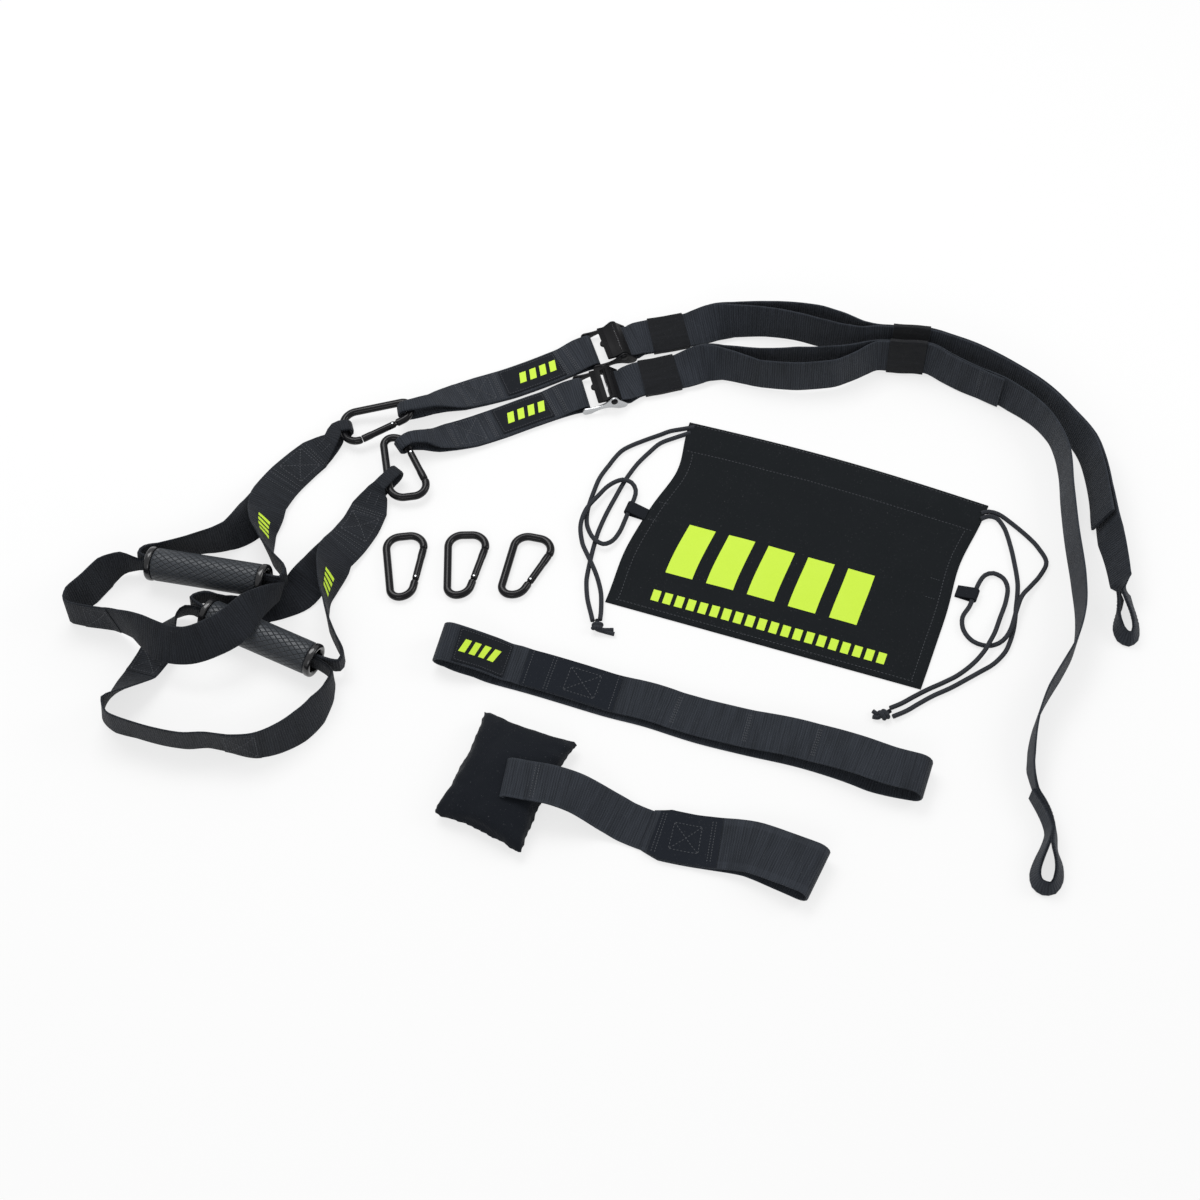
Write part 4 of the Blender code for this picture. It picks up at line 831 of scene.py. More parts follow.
def keeper_band(node_name, stations, start):
    """A knitted elastic band round both layers, a little drawn in between its rolled ends."""
    row_pitch = 2.0
    placed = frames(smooth(stretch(stations, start, start + KEEPER_LENGTH), False, row_pitch), False)
    half, rise = WEB / 2 + 1.2, PLY / 2 + SKIN / 2 + 1.0
    corner = 1.5
    outline = []
    for side in (1, -1):
        first = 0 if side == 1 else 180
        outline += arc((side * (half - corner), side * (rise - corner)), corner, first, first + 90, 4)
        outline += [(side * (half - corner) * f, side * rise) for f in (0.66, 0.33, 0.0, -0.33, -0.66)]
        outline += arc((side * (corner - half), side * (rise - corner)), corner, first + 90, first + 180, 4)
    around = len(outline)
    rows = len(placed) - 1
    bm = bmesh.new()
    sheet_uv = bm.loops.layers.uv.new("UVMap")
    spots = grid_spots(bm, rows, around)
    girth = [0.0]
    for a, b in zip(outline, outline[1:] + outline[:1]):
        girth.append(girth[-1] + math.dist(a, b))
    for vert, (i, j) in spots.items():
        point, across, normal, _, _ = placed[i]
        a, b = outline[j % around]
        near_end = min(i, rows - i) / 2.0
        roll = 0.28 * math.exp(-near_end * near_end)
        vert.co = point + across * a + normal * (b * (1.0 + roll / rise))
    lay_uv(bm, sheet_uv, spots, lambda i, j: (girth[j] * MM, i * row_pitch * MM))
    close_skin(bm, False)
    bmesh.ops.solidify(bm, geom=bm.faces[:], thickness=0.9)
    finish_piece(f"{node_name}_band", bm, elastic, "straps", [node_name])


# Main straps, their keepers and the short straps

BAR_CLEAR = BAR_Z - BAR_WRAP - SKIN / 2      # from the surface to the webbing under a bar


def buckle_place(spot):
    x, y, heading = spot
    return Matrix.Translation((x, y, 0.0)) @ Matrix.Rotation(math.radians(heading), 4, "Z")


def strap_pair(place, points):
    """The stretch of a main strap with its tail on top, from the buckle's bar outwards."""
    start = place @ Vector((BAR_X, 0.0, 0.0))
    leave = place @ Vector((BAR_X + 6.0, 0.0, 0.0))
    first = [(start.x, start.y, 0, WEB, 2 * BAR_WRAP, BAR_CLEAR),
             (leave.x, leave.y, 0, WEB, 2 * BAR_WRAP - 0.8, BAR_CLEAR)]
    return run(first + points)


def anchor_eye(points):
    """Folded webbing lying on the surface along (x, y, lean, width) points."""
    return layer(run([(*point, 0.0, 0.2) for point in points]), 0, FOLD_SKIN)


def main_strap(side, spot, pair_points, rest_points, eye, keepers, tacks, seed):
    """Long webbing from its anchor eye, round the buckle's bar, and back as the tail on top."""
    place = buckle_place(spot)
    heading = (place @ Vector((1, 0, 0, 0))).to_3d()
    across = UP.cross(heading)
    centre = place @ Vector((BAR_X, 0.0, BAR_Z))
    pair = strap_pair(place, pair_points)
    rest = run([pair_points[-1], *rest_points])[1:]
    bend = turn(centre, -heading, across, BAR_WRAP, WEB, SKIN)
    tail = thicker(layer(pair, 1)[1:], FOLD_SKIN, 2)
    under = layer(pair, -1)[1:] + layer(rest, -1)
    path = anchor_eye(eye) + list(reversed(under)) + bend + tail
    finish_piece(f"{side}_main_strap_webbing", strip(path, seed=seed), webbing, "straps",
                 [f"{side}_main_strap"])
    middle = layer(pair, 0)
    for where, start in keepers:
        keeper_band(f"{side}_keeper_{where}", middle, start)
    bm = bmesh.new()
    top = Surface(layer(pair, 1), 1.0)
    for distance in tacks:
        bar_tack(bm, top, top.length - distance, WEB / 2 - 1.4, 2, 2.0)
    for face in (1.0, -1.0):
        surface = Surface(anchor_eye(eye), face)
        for distance in (8.0, surface.length - 8.0):
            bar_tack(bm, surface, distance, FOLDED / 2 - 1.8, 4, 1.5)
        for aside in (-FOLDED / 2 + 2.4, FOLDED / 2 - 2.4):
            stitch_row(bm, surface, (10.0, aside), (32.0, aside))
            stitch_row(bm, surface, (surface.length - 32.0, aside), (surface.length - 10.0, aside))
    finish_piece(f"{side}_main_strap_stitching", bm, black_thread, "straps")


def hold_on(hook, corner, angle, depth, leg=8.0, slack=0.55):
    """Where webbing passes round a carabiner's rod: its turn's middle, way in and width line."""
    out = Vector((math.cos(math.radians(angle)), math.sin(math.radians(angle)), 0.0))
    centre = hook @ (Vector((*corner, 0.0)) + out * depth)
    spin = hook.to_3x3()
    return centre, spin @ -out, spin @ Vector((-out.y, out.x, 0.0)), leg, slack


def eye_turn(hold, like):
    """Webbing round a carabiner's rod with its two short legs, from below the rod to above it."""
    centre, inward, across, leg, slack = hold
    if across.dot(like) < 0:
        across = -across
    radius = ROD + slack + FOLD_SKIN / 2
    bend = turn(centre, inward, across, radius, EYE_WIDTH, FOLD_SKIN, -90, 90, 6)
    legs = [(knot[0] - inward * leg, across, EYE_WIDTH + 1, FOLD_SKIN)
            for knot in (bend[0], bend[-1])]
    return [legs[0], *bend, legs[1]]


def short_strap(side, spot, points, hold, label_to, box, tacks, seed):
    """A closed band of webbing from the buckle's near bar to the carabiner, with its sewn label."""
    place = buckle_place(spot)
    heading = (place @ Vector((1, 0, 0, 0))).to_3d()
    across = UP.cross(-heading)
    bar = place @ Vector((-BAR_X, 0.0, 0.0))
    body = run([(bar.x, bar.y, 0, WEB, 2 * BAR_WRAP, BAR_CLEAR), *points])
    hold = eye_turn(hold, body[-1][1])
    bend = turn(bar + UP * BAR_Z, heading, across, BAR_WRAP, WEB, SKIN)
    under = thicker(layer(body, -1)[1:], FOLD_SKIN, 1)
    top = thicker(layer(body, 1)[1:], FOLD_SKIN, 1)
    path = bend[::-1] + under + hold + top[::-1]
    finish_piece(f"{side}_short_strap_webbing", strip(path, True, seed=seed), webbing, "straps",
                 [f"{side}_short_strap"])
    surface = Surface(layer(body, 1), 1.0)
    bm = bmesh.new()
    box_stitch(bm, surface, *box, WEB / 2 - 4.0)
    for distance in tacks:
        bar_tack(bm, surface, distance, WEB / 2 - 2.0)
    finish_piece(f"{side}_short_strap_stitching", bm, black_thread, "straps")
    label_on(f"{side}_label", surface, 35.5, label_to, 16.2, "straps", (40.0, 84.0, -6.4, 6.4))


main_strap(
    "front", FRONT_BUCKLE,
    [(30, 256.5, 6, WEB, 4.0, 1.9), (39, 260.5, 10, WEB, PLY, 2.2), (58, 264.6, 10, WEB, PLY, 2.2),
     (80, 270.6, 10, WEB, PLY, 2.2), (92, 273, 24, WEB, 3.6, 1.0), (106, 274.5, 48, WEB, 5, 0.4),
     (125, 272.5, 72, WEB, 6, 0.2), (160, 266, 84, WEB, 17, 0.1),
     (198, 264, 82, WEB, 23, 0.1), (235, 267, 82, WEB, 20, 0.1), (260, 275, 80, WEB, 10, 0.1),
     (279, 280.6, 78, WEB, PLY, 2.4), (304, 278.6, 78, WEB, PLY, 2.4),
     (331, 276.4, 78, WEB, PLY, 2.4), (348, 266, 78, WEB, PLY, 0.8),
     (365, 255, 78, WEB, PLY, 0.2), (383, 245, 80, WEB, PLY, 0.2), (385, 244, 80, WEB, 3, 0.2),
     (401, 235, 80, WEB, 3.2, 0.2)],
    [(411, 229, 80, WEB, 0, 0.2), (433, 209, 84, WEB, 0, 0.2), (448, 185, 86, WEB, 0, 0.2),
     (455, 153, 80, WEB, 0, 0.2), (453.5, 107, 80, WEB, 0, 0.2), (453, 62, 80, WEB, 0, 0.2),
     (454, 10, 80, WEB, 0, 0.2), (452, -28, 84, WEB, 0, 0.2), (443, -62, 90, WEB, 0, 0.2),
     (427, -91, 92, WEB, 0, 0.2), (412, -115, 92, 36, 0, 0.2), (400, -141, 88, 34, 0, 0.2),
     (393, -167, 84, 30, 0, 0.2), (390, -190, 82, 24, 0, 0.2)],
    [(389, -214, 86, FOLDED), (397.5, -234, 80, FOLDED), (401, -252, 76, FOLDED),
     (395.5, -267, 76, 22), (389, -280, 70, 19), (384.5, -292, 66, 17),
     (385, -302, 66, 16), (391, -307.5, 66, 16), (399, -307, 66, 16),
     (404.5, -298, 64, 19), (406, -285, 66, 21), (403.5, -269, 72, 23),
     (405.5, -252, 76, FOLDED), (402, -232, 80, FOLDED), (393.5, -213, 86, FOLDED)],
    [("near", 26.0), ("far", 281.0)], (3.0, 24.0), 1.0)

main_strap(
    "back", BACK_BUCKLE,
    [(39, 313.2, 6, WEB, 4.0, 1.9), (50, 315.6, 10, WEB, PLY, 2.2), (69, 319.4, 10, WEB, PLY, 2.2),
     (91, 324.6, 10, WEB, PLY, 2.2), (103, 326.8, 22, WEB, 3.4, 1.0), (117, 328, 44, WEB, 4.4, 0.4),
     (137, 328.5, 68, WEB, 5.6, 0.2), (170, 329, 78, WEB, 10, 0.1),
     (199, 326, 82, WEB, 15, 0.1), (222, 320, 82, WEB, 19, 0.1), (244, 312, 82, WEB, 17, 0.1),
     (266, 304, 80, WEB, 9, 0.1), (281, 300.8, 78, WEB, PLY, 2.4), (306, 298.5, 78, WEB, PLY, 2.4),
     (331, 296.2, 78, WEB, PLY, 2.4), (350, 290.5, 78, WEB, PLY, 0.8),
     (378, 278, 79, WEB, PLY, 0.2), (413, 254, 80, WEB, PLY, 0.2),
     (442, 228, 80, WEB, PLY, 0.2), (464, 197, 78, WEB, PLY, 0.2), (479.5, 168, 72, WEB, PLY, 0.2),
     (485, 138, 71, WEB, 3.2, 0.2), (486.5, 112, 70, WEB, 3.6, 0.2), (487, 79, 66, WEB, 5.5, 0.2)],
    [(490.5, 62, 62, WEB, 0, 0.2), (493.5, 38, 62, 34, 0, 0.2), (495, 12, 62, 31, 0, 0.2)],
    [(493, -2, 112, 24), (491.5, -12, 104, 22), (488.5, -23, 92, 19),
     (487.5, -35, 74, 18), (490.5, -45, 64, 17), (497, -49, 64, 17),
     (502.5, -45, 64, 17), (504.5, -35, 64, 18), (503.5, -23, 64, 20),
     (500.5, -10, 62, 24), (498.5, 0, 60, 26)],
    [("near", 26.0), ("far", 277.0)], (3.0, 30.0, 62.0), 2.0)


def carabiner_place(corner, long_heading, slope, flipped):
    """Frame of a carabiner: its square corner at the narrow end, and where its bow points."""
    angle = math.radians(long_heading)
    rise = math.radians(slope)
    long_axis = Vector((math.cos(angle) * math.cos(rise), math.sin(angle) * math.cos(rise),
                        math.sin(rise)))
    gate_side = UP.cross(long_axis).normalized() * (1 if flipped else -1)
    normal = gate_side.cross(long_axis)
    turn_to = Matrix((gate_side, long_axis, normal)).transposed().to_4x4()
    return Matrix.Translation(corner) @ turn_to


back_hook = carabiner_place((-190.0, 225.5, 17.6), 189.0, -7.2, True)
front_hook = carabiner_place((-214.5, 179.5, 15.6), -81.2, -5.6, True)

short_strap(
    "back", BACK_BUCKLE,
    [(-20, 293.5, 0, WEB, 6, 0.6), (-35, 285.5, 2, WEB, PLY, 0.3), (-64, 270.8, 2, WEB, PLY, 0.3),
     (-93, 257.8, 2, WEB, PLY, 0.3), (-120, 247.8, 4, WEB, PLY, 0.5), (-142, 237.8, 6, 35, 3.4, 2.4),
     (-157, 230, 2, 25, 6.5, 7.0), (-169, 222.5, 0, 17, 10.5, 9.5)],
    hold_on(back_hook, (10.8, 10.8), -90, 6.0, 8.0, 1.6), 98.0,
    (110.0, 136.0), (22.0, 33.0, 104.0, 142.0), 3.0)
short_strap(
    "front", FRONT_BUCKLE,
    [(-31, 239, 0, WEB, 6, 0.6), (-51, 230.5, 2, WEB, PLY, 0.3), (-74, 220.5, 2, WEB, PLY, 0.3),
     (-100, 208.5, 2, WEB, PLY, 0.3), (-128, 196.5, 4, WEB, PLY, 0.3), (-148, 189, 6, 35, 3.4, 1.6),
     (-162, 183, 2, 26, 6.5, 4.6), (-174, 180, 0, 17, 10.5, 7.6)],
    hold_on(front_hook, (8.8, 14.0), -24, 12.0, 8.0, 0.9), 91.0,
    (108.0, 134.0), (22.0, 33.0, 98.0, 140.0), 4.0)


# Handles

def grip_ends(x, y, z, heading, tilt):
    flat = math.cos(math.radians(tilt))
    reach = Vector((math.cos(math.radians(heading)) * flat, math.sin(math.radians(heading)) * flat,
                    math.sin(math.radians(tilt)))) * (GRIP_HALF + 2.5)
    return Vector((x, y, z)) - reach, Vector((x, y, z)) + reach


BACK_GRIP = grip_ends(-371.5, 16.0, 23.5, -14.4, 6.0)
FRONT_GRIP = grip_ends(-317.0, -52.5, 17.0, -26.2, 0.0)


def turned(profile, steps, closed=True):
    """Revolves a profile of (x, radius) points about the X axis."""
    bm = bmesh.new()
    verts = [bm.verts.new((x, 0.0, radius)) for x, radius in profile]
    pairs = zip(verts, verts[1:] + verts[:1]) if closed else zip(verts, verts[1:])
    edges = [bm.edges.new((a, b)) for a, b in pairs]
    bmesh.ops.spin(bm, geom=edges, cent=(0, 0, 0), axis=(1, 0, 0), steps=steps,
                   angle=math.tau, use_merge=True)
    bmesh.ops.remove_doubles(bm, verts=bm.verts, dist=0.002)
    return bm


def round_uv(bm, radius):
    """Unrolls a turned shape about X: length in U and girth in V, both in metres."""
    sheet_uv = bm.loops.layers.uv.new("UVMap")
    for face in bm.faces:
        centre = face.calc_center_median()
        middle = math.atan2(centre.y, centre.z)
        for loop in face.loops:
            angle = math.atan2(loop.vert.co.y, loop.vert.co.z)
            while angle - middle > math.pi:
                angle -= math.tau
            while middle - angle > math.pi:
                angle += math.tau
            loop[sheet_uv].uv = (loop.vert.co.x * MM, angle * radius * MM)


def grip(side, left, right):
    """Knurled sleeve, the tube inside it and two polished ring caps, all turned about one axis."""
    middle = (left + right) / 2
    spin = Vector((1, 0, 0)).rotation_difference(right - left).to_matrix().to_4x4()
    place = Matrix.Translation(middle) @ spin
    body = f"{side}_grip"
    cap_foot = GRIP_HALF - 6.2
    sleeve_end = cap_foot - GAP
    half = [(sleeve_end, 13.3), (sleeve_end, 14.6), (sleeve_end - 0.5, 15.2), (sleeve_end - 1.6, 15.7),
            (sleeve_end - 4.0, GRIP_RADIUS)]
    between_ends = [(sleeve_end - 4.0 - k * (2 * sleeve_end - 8.0) / 24, GRIP_RADIUS) for k in range(1, 24)]
    sleeve = turned(half + between_ends + [(-x, radius) for x, radius in reversed(half)], 96)
    round_uv(sleeve, GRIP_RADIUS)
    tube_end = cap_foot + 3.7
    core = turned([(-tube_end, BORE), (-tube_end, 13.0), (tube_end, 13.0), (tube_end, BORE)], 64)
    cap = [(cap_foot, 13.3), (cap_foot, 15.4), (cap_foot + 0.3, 15.9), (cap_foot + 0.9, 16.35),
           (cap_foot + 1.6, 16.5), (cap_foot + 4.0, 16.5), (cap_foot + 5.0, 16.3), (cap_foot + 5.8, 15.7),
           (GRIP_HALF, 14.7), (GRIP_HALF + 0.1, 13.4), (GRIP_HALF - 0.1, 12.4), (GRIP_HALF - 0.8, 11.5),
           (cap_foot + 4.0, BORE - 0.2), (cap_foot + 4.0, 13.3)]
    pieces = [("grip_sleeve", "knurled_sleeve", sleeve, knurled_rubber, "grip_rubber"),
              ("grip_tube", "inner_tube", core, gloss_plastic, "gloss_black_plastic"),
              ("end_cap_right", "right_ring_cap", turned(cap, 72), gloss_plastic, "gloss_black_plastic"),
              ("end_cap_left", "left_ring_cap", turned([(-x, radius) for x, radius in cap], 72),
               gloss_plastic, "gloss_black_plastic")]
    for node_name, name, shape, finish, slot in pieces:
        bmesh.ops.transform(shape, verts=shape.verts, matrix=place)
        finish_piece(f"{side}_{name}", shape, finish, body, [f"{side}_{node_name}"], 50.0)


def through_grip(left, right, across):
    """Folded webbing through a grip's bore, on one side of its middle."""
    inward = (right - left).normalized()
    shift = -across.cross(inward).normalized() * (FOLD_SKIN / 2 + GAP)
    return [(end + shift + inward * d, across, FOLDED, FOLD_SKIN)
            for end, d in ((right, 2.0), (right, -16.0), (left, 16.0), (left, -2.0))]


def hand_strap(side, left, right, neck, eye, right_branch, left_branch, mark_at, seed):
    """One webbing from the carabiner's eye down both branches and through the grip."""
    body = run(neck)
    hold = eye_turn(eye, body[0][1])
    top = thicker(layer(body, 1), FOLD_SKIN, 2, False)
    under = thicker(layer(body, -1), FOLD_SKIN, 2, False)
    to_right = thicker(layer(run(right_branch), 0), FOLD_SKIN, 2)
    to_left = thicker(layer(run(left_branch), 0), FOLD_SKIN, 2)
    path = hold + top + to_right + through_grip(left, right, -UP) + to_left[::-1] + under[::-1]
    finish_piece(f"{side}_hand_strap_webbing", strip(path, True, seed=seed), handle_webbing,
                 f"{side}_handle", [f"{side}_hand_strap"])
    surface = Surface(top + to_right, 1.0)
    bm = bmesh.new()
    box_stitch(bm, surface, 28.0, 56.0, WEB / 2 - 5.0)
    for distance in (22.0, 25.0, 62.0, 66.0, 74.0):
        bar_tack(bm, surface, distance, WEB / 2 - 2.2, 1)
    for aside in (-4.4, 4.4):
        stitch_row(bm, surface, (4.0, aside), (16.0, aside))
    finish_piece(f"{side}_hand_strap_stitching", bm, black_thread, f"{side}_handle")
    slanted_bars(f"{side}_hand_strap_bars", surface, mark_at, f"{side}_handle", 0.06)


def foot_loop(side, left, right, points, boxes, seed):
    """A closed webbing ring through the grip, lapped and sewn where its two ends meet."""
    around = thicker(thicker(layer(run(points), 0), FOLD_SKIN, 2), FOLD_SKIN, 2, False)
    ring = strip(through_grip(left, right, UP) + around, True, seed=seed)
    finish_piece(f"{side}_foot_loop_webbing", ring, handle_webbing, f"{side}_handle",
                 [f"{side}_foot_loop"])
    surface = Surface(around, 1.0)
    half, lap_skin = WEB / 2 - 0.9, 0.7
    bm = bmesh.new()
    for start, stop in boxes:
        lap = patch(surface, start - 3.0, stop + 3.0, -half, half, lap_skin, 0.0, 0.02, 16, 8)
        finish_piece(f"{side}_foot_loop_lap_{round(start)}", lap, handle_webbing, f"{side}_handle")
        box_stitch(bm, Lifted(surface, lap_skin), start, stop, WEB / 2 - 4.5)
    finish_piece(f"{side}_foot_loop_stitching", bm, black_thread, f"{side}_handle")


grip("back", *BACK_GRIP)
grip("front", *FRONT_GRIP)
hand_strap(
    "back", *BACK_GRIP,
    [(-265, 183, 0, 17, 10.0, 2.0), (-273, 176, -1, 27, 6.5, 0.8), (-282.5, 168.5, -2, 36, 3.4, 0.4),
     (-300, 149.5, -4, WEB, PLY, 0.3), (-314, 129.5, -9, WEB, 2.6, 0.3),
     (-323, 109.5, -18, WEB, 4.5, 0.3)],
    hold_on(back_hook, (18.5, 69.0), 84, -1.8),
    [(-324, 94, -27, WEB, 0, 3.5), (-325, 77, -50, WEB, 0, 1.5), (-321, 55, -72, WEB, 0, 1.0),
     (-315, 37, -84, 34, 0, 5.0), (-304, 21, -90, 28, 0, 12.0), (-297, 9, -90, 22, 0, 18.5),
     (-301, 0.5, -90, FOLDED, 0, 20.6)],
    [(-332, 94, -27, WEB, 0, 0.1), (-342, 77, -50, WEB, 0, 0.2), (-358, 61, -78, WEB, 0, 0.2),
     (-380, 54, -88, 36, 0, 0.2), (-403, 50.5, -90, 30, 0, 0.2), (-422, 48.5, -90, 24, 0, 1.5),
     (-436, 45, -90, 20, 0, 5.0), (-440, 37, -90, FOLDED, 0, 7.2)],
    (120.0, 144.0, -7.0, 7.0), 5.0)
foot_loop(
    "back", *BACK_GRIP,
    [(-440, 30, 90, FOLDED, 0, 7.2), (-455.5, 31, 100, 30, 0, 2.2), (-470.5, 19, 110, WEB, 0, 0.2),
     (-484, 1, 112, WEB, 0, 0.2), (-497, -13, 106, WEB, 0, 0.2), (-501, -24, 90, WEB, 0, 0.2),
     (-482, -30, 90, WEB, 0, 0.2), (-461, -34, 92, WEB, 0, 1.0), (-443, -44, 88, WEB, 0, 8.0),
     (-424, -58, 68, WEB, 0, 16.5), (-403, -72, 54, WEB, 0, 22.5), (-380, -78, 56, WEB, 0, 27.0),
     (-358, -73, 52, WEB, 0, 32.5), (-340, -62, 46, WEB, 0, 35.5), (-325, -42, 52, 34, 0, 34.5),
     (-309, -22, 74, 26, 0, 27.0), (-300, -8.5, 90, FOLDED, 0, 20.8)],
    [(108.0, 134.0)], 6.0)
hand_strap(
    "front", *FRONT_GRIP,
    [(-217, 121, 0, 20, 9.0, 1.6), (-221, 112.5, -1, 29, 6.0, 0.8), (-224.5, 104, -2, 36, 3.4, 0.4),
     (-232, 84, -4, WEB, PLY, 0.3), (-243, 62, -15, WEB, 2.6, 0.3), (-254, 44, -28, WEB, 4.5, 0.3)],
    hold_on(front_hook, (0.0, 48.0), 139, -8.2, 20.0),
    [(-255, 31, -38, WEB, 0, 3.5), (-258, 13, -60, WEB, 0, 1.5), (-260, -4, -78, WEB, 0, 0.8),
     (-258, -20, -87, WEB, 0, 0.6), (-254, -38, -90, 34, 0, 1.0), (-246, -57, -90, 28, 0, 3.0),
     (-239, -73, -90, 22, 0, 5.5), (-242, -83, -90, FOLDED, 0, 7.2)],
    [(-265, 31, -34, WEB, 0, 0.1), (-276, 16, -38, WEB, 0, 0.1), (-288, 4, -12, WEB, 0, 0.1),
     (-303, -5, -5, 34, 0, 0.1), (-317, -11, -6, 31, 0, 0.1), (-329, -16.5, -16, 29, 0, 0.1),
     (-338, -17.5, -32, 27, 0, 0.1), (-346, -15, -56, 25, 0, 0.2), (-355, -11.5, -80, 23, 0, 0.8),
     (-363, -8.5, -90, 21, 0, 3.5),
     (-374, -7, -90, FOLDED, 0, 6.5), (-385, -13, -90, FOLDED, 0, 7.2)],
    (112.0, 136.0, -7.0, 7.0), 7.0)
foot_loop(
    "front", *FRONT_GRIP,
    [(-388, -22, 90, FOLDED, 0, 7.0), (-399, -27, 60, 24, 0, 1.5), (-409, -42, 26, 32, 0, 0.3),
     (-415, -62, 14, WEB, 0, 0.3), (-427, -87, 22, WEB, 0, 0.3), (-444, -110, 52, WEB, 0, 0.3),
     (-456, -130, 82, WEB, 0, 0.3), (-448, -144, 92, WEB, 0, 0.3), (-426, -153, 96, WEB, 0, 0.3),
     (-400, -161, 96, WEB, 0, 0.3), (-376, -165, 97, WEB, 0, 0.3), (-359, -164, 98, WEB, 0, 0.3),
     (-336, -168, 95, WEB, 0, 0.3), (-314, -170, 84, WEB, 0, 0.3), (-293.5, -163, 76, WEB, 0, 0.3),
     (-274, -149.5, 70, WEB, 0, 0.3), (-259, -131.5, 70, 36, 0, 0.6), (-249.5, -111, 80, 28, 0, 3.0),
     (-248, -94, 90, FOLDED, 0, 7.0)],
    [(52.0, 78.0), (262.0, 290.0)], 8.0)


# Carabiners

def mesh_object(bm):
    bmesh.ops.recalc_face_normals(bm, faces=bm.faces)
    mesh = bpy.data.meshes.new("shape")
    bm.to_mesh(mesh)
    bm.free()
    return link("shape", mesh)


def combine(base, others, operation):
    """Unites a bmesh with others, or cuts them out of it, and returns the result as a bmesh."""
    solid = mesh_object(base)
    tools = [mesh_object(other) for other in others]
    for tool in tools:
        step = solid.modifiers.new("step", "BOOLEAN")
        step.operation = operation
        step.solver = "EXACT"
        step.object = tool
    evaluated = solid.evaluated_get(bpy.context.evaluated_depsgraph_get())
    result = bmesh.new()
    result.from_mesh(evaluated.to_mesh())
    evaluated.to_mesh_clear()
    for used in [solid, *tools]:
        bpy.data.objects.remove(used, do_unlink=True)
    bmesh.ops.remove_doubles(result, verts=result.verts, dist=0.002)
    return result


def rod(start, end, radius, sides=32):
    start, end = Vector(start), Vector(end)
    bm = bmesh.new()
    bmesh.ops.create_cone(bm, cap_ends=True, segments=sides, radius1=radius, radius2=radius,
                          depth=(end - start).length)
    spin = UP.rotation_difference(end - start).to_matrix().to_4x4()
    bmesh.ops.transform(bm, verts=bm.verts, matrix=Matrix.Translation((start + end) / 2) @ spin)
    return bm


def block(low, high):
    bm = bmesh.new()
    bmesh.ops.create_cube(bm, size=1.0)
    low, high = Vector(low), Vector(high)
    bmesh.ops.scale(bm, verts=bm.verts, vec=high - low)
    bmesh.ops.translate(bm, verts=bm.verts, vec=(low + high) / 2)
    return bm


def carabiner_outline():
    """Middle line of the body from the gate's pivot round to the nose, and the gate's heading."""
    slope = 0.31
    base = 19.2
    gate = Vector((slope, 1.0)).normalized()
    tilt = math.degrees(math.atan(slope))
    pivot = Vector((base + slope * 20.0, 20.0))
    line = [pivot + gate * 3.1, pivot + gate * 2.7, pivot - gate * 3.9, pivot - gate * 4.6,
            pivot - gate * 5.2]
    narrow_right = arc((8.8, 14.0), 14.0, -tilt, -90, 16)
    narrow_left = arc((8.8, 8.8), 8.8, -90, -180, 14)[1:]
    bow_left = arc((14.0, CARABINER_LENGTH - 14.0), 14.0, 180, 90, 16)
    bow_right = arc((23.0, CARABINER_LENGTH - 13.0), 13.0, 90, -tilt, 20)
    rest = [Vector(p) for p in narrow_right + narrow_left]
    for step in range(1, 8):
        rest.append(rest[-1].lerp(Vector(bow_left[0]), 1.0 / (9 - step)))
    rest += [Vector(p) for p in bow_left + bow_right]
    return line + rest, pivot, gate


def bar_along(line, sections, sides):
    """A bar in the XY plane whose section is given at each point as (in plane, thickness)."""
    bm = bmesh.new()
    rows = len(line) - 1
    for vert, (i, k) in grid_spots(bm, rows, sides).items():
        along = (line[min(i + 1, rows)] - line[max(i - 1, 0)]).normalized()
        side = Vector((along.y, -along.x))
        half, thick = sections[i]
        angle = math.tau * (k % sides + 0.5) / sides
        flat = line[i] + side * (half * math.cos(angle))
        vert.co = (flat.x, flat.y, thick * math.sin(angle))
    close_skin(bm)
    return bm


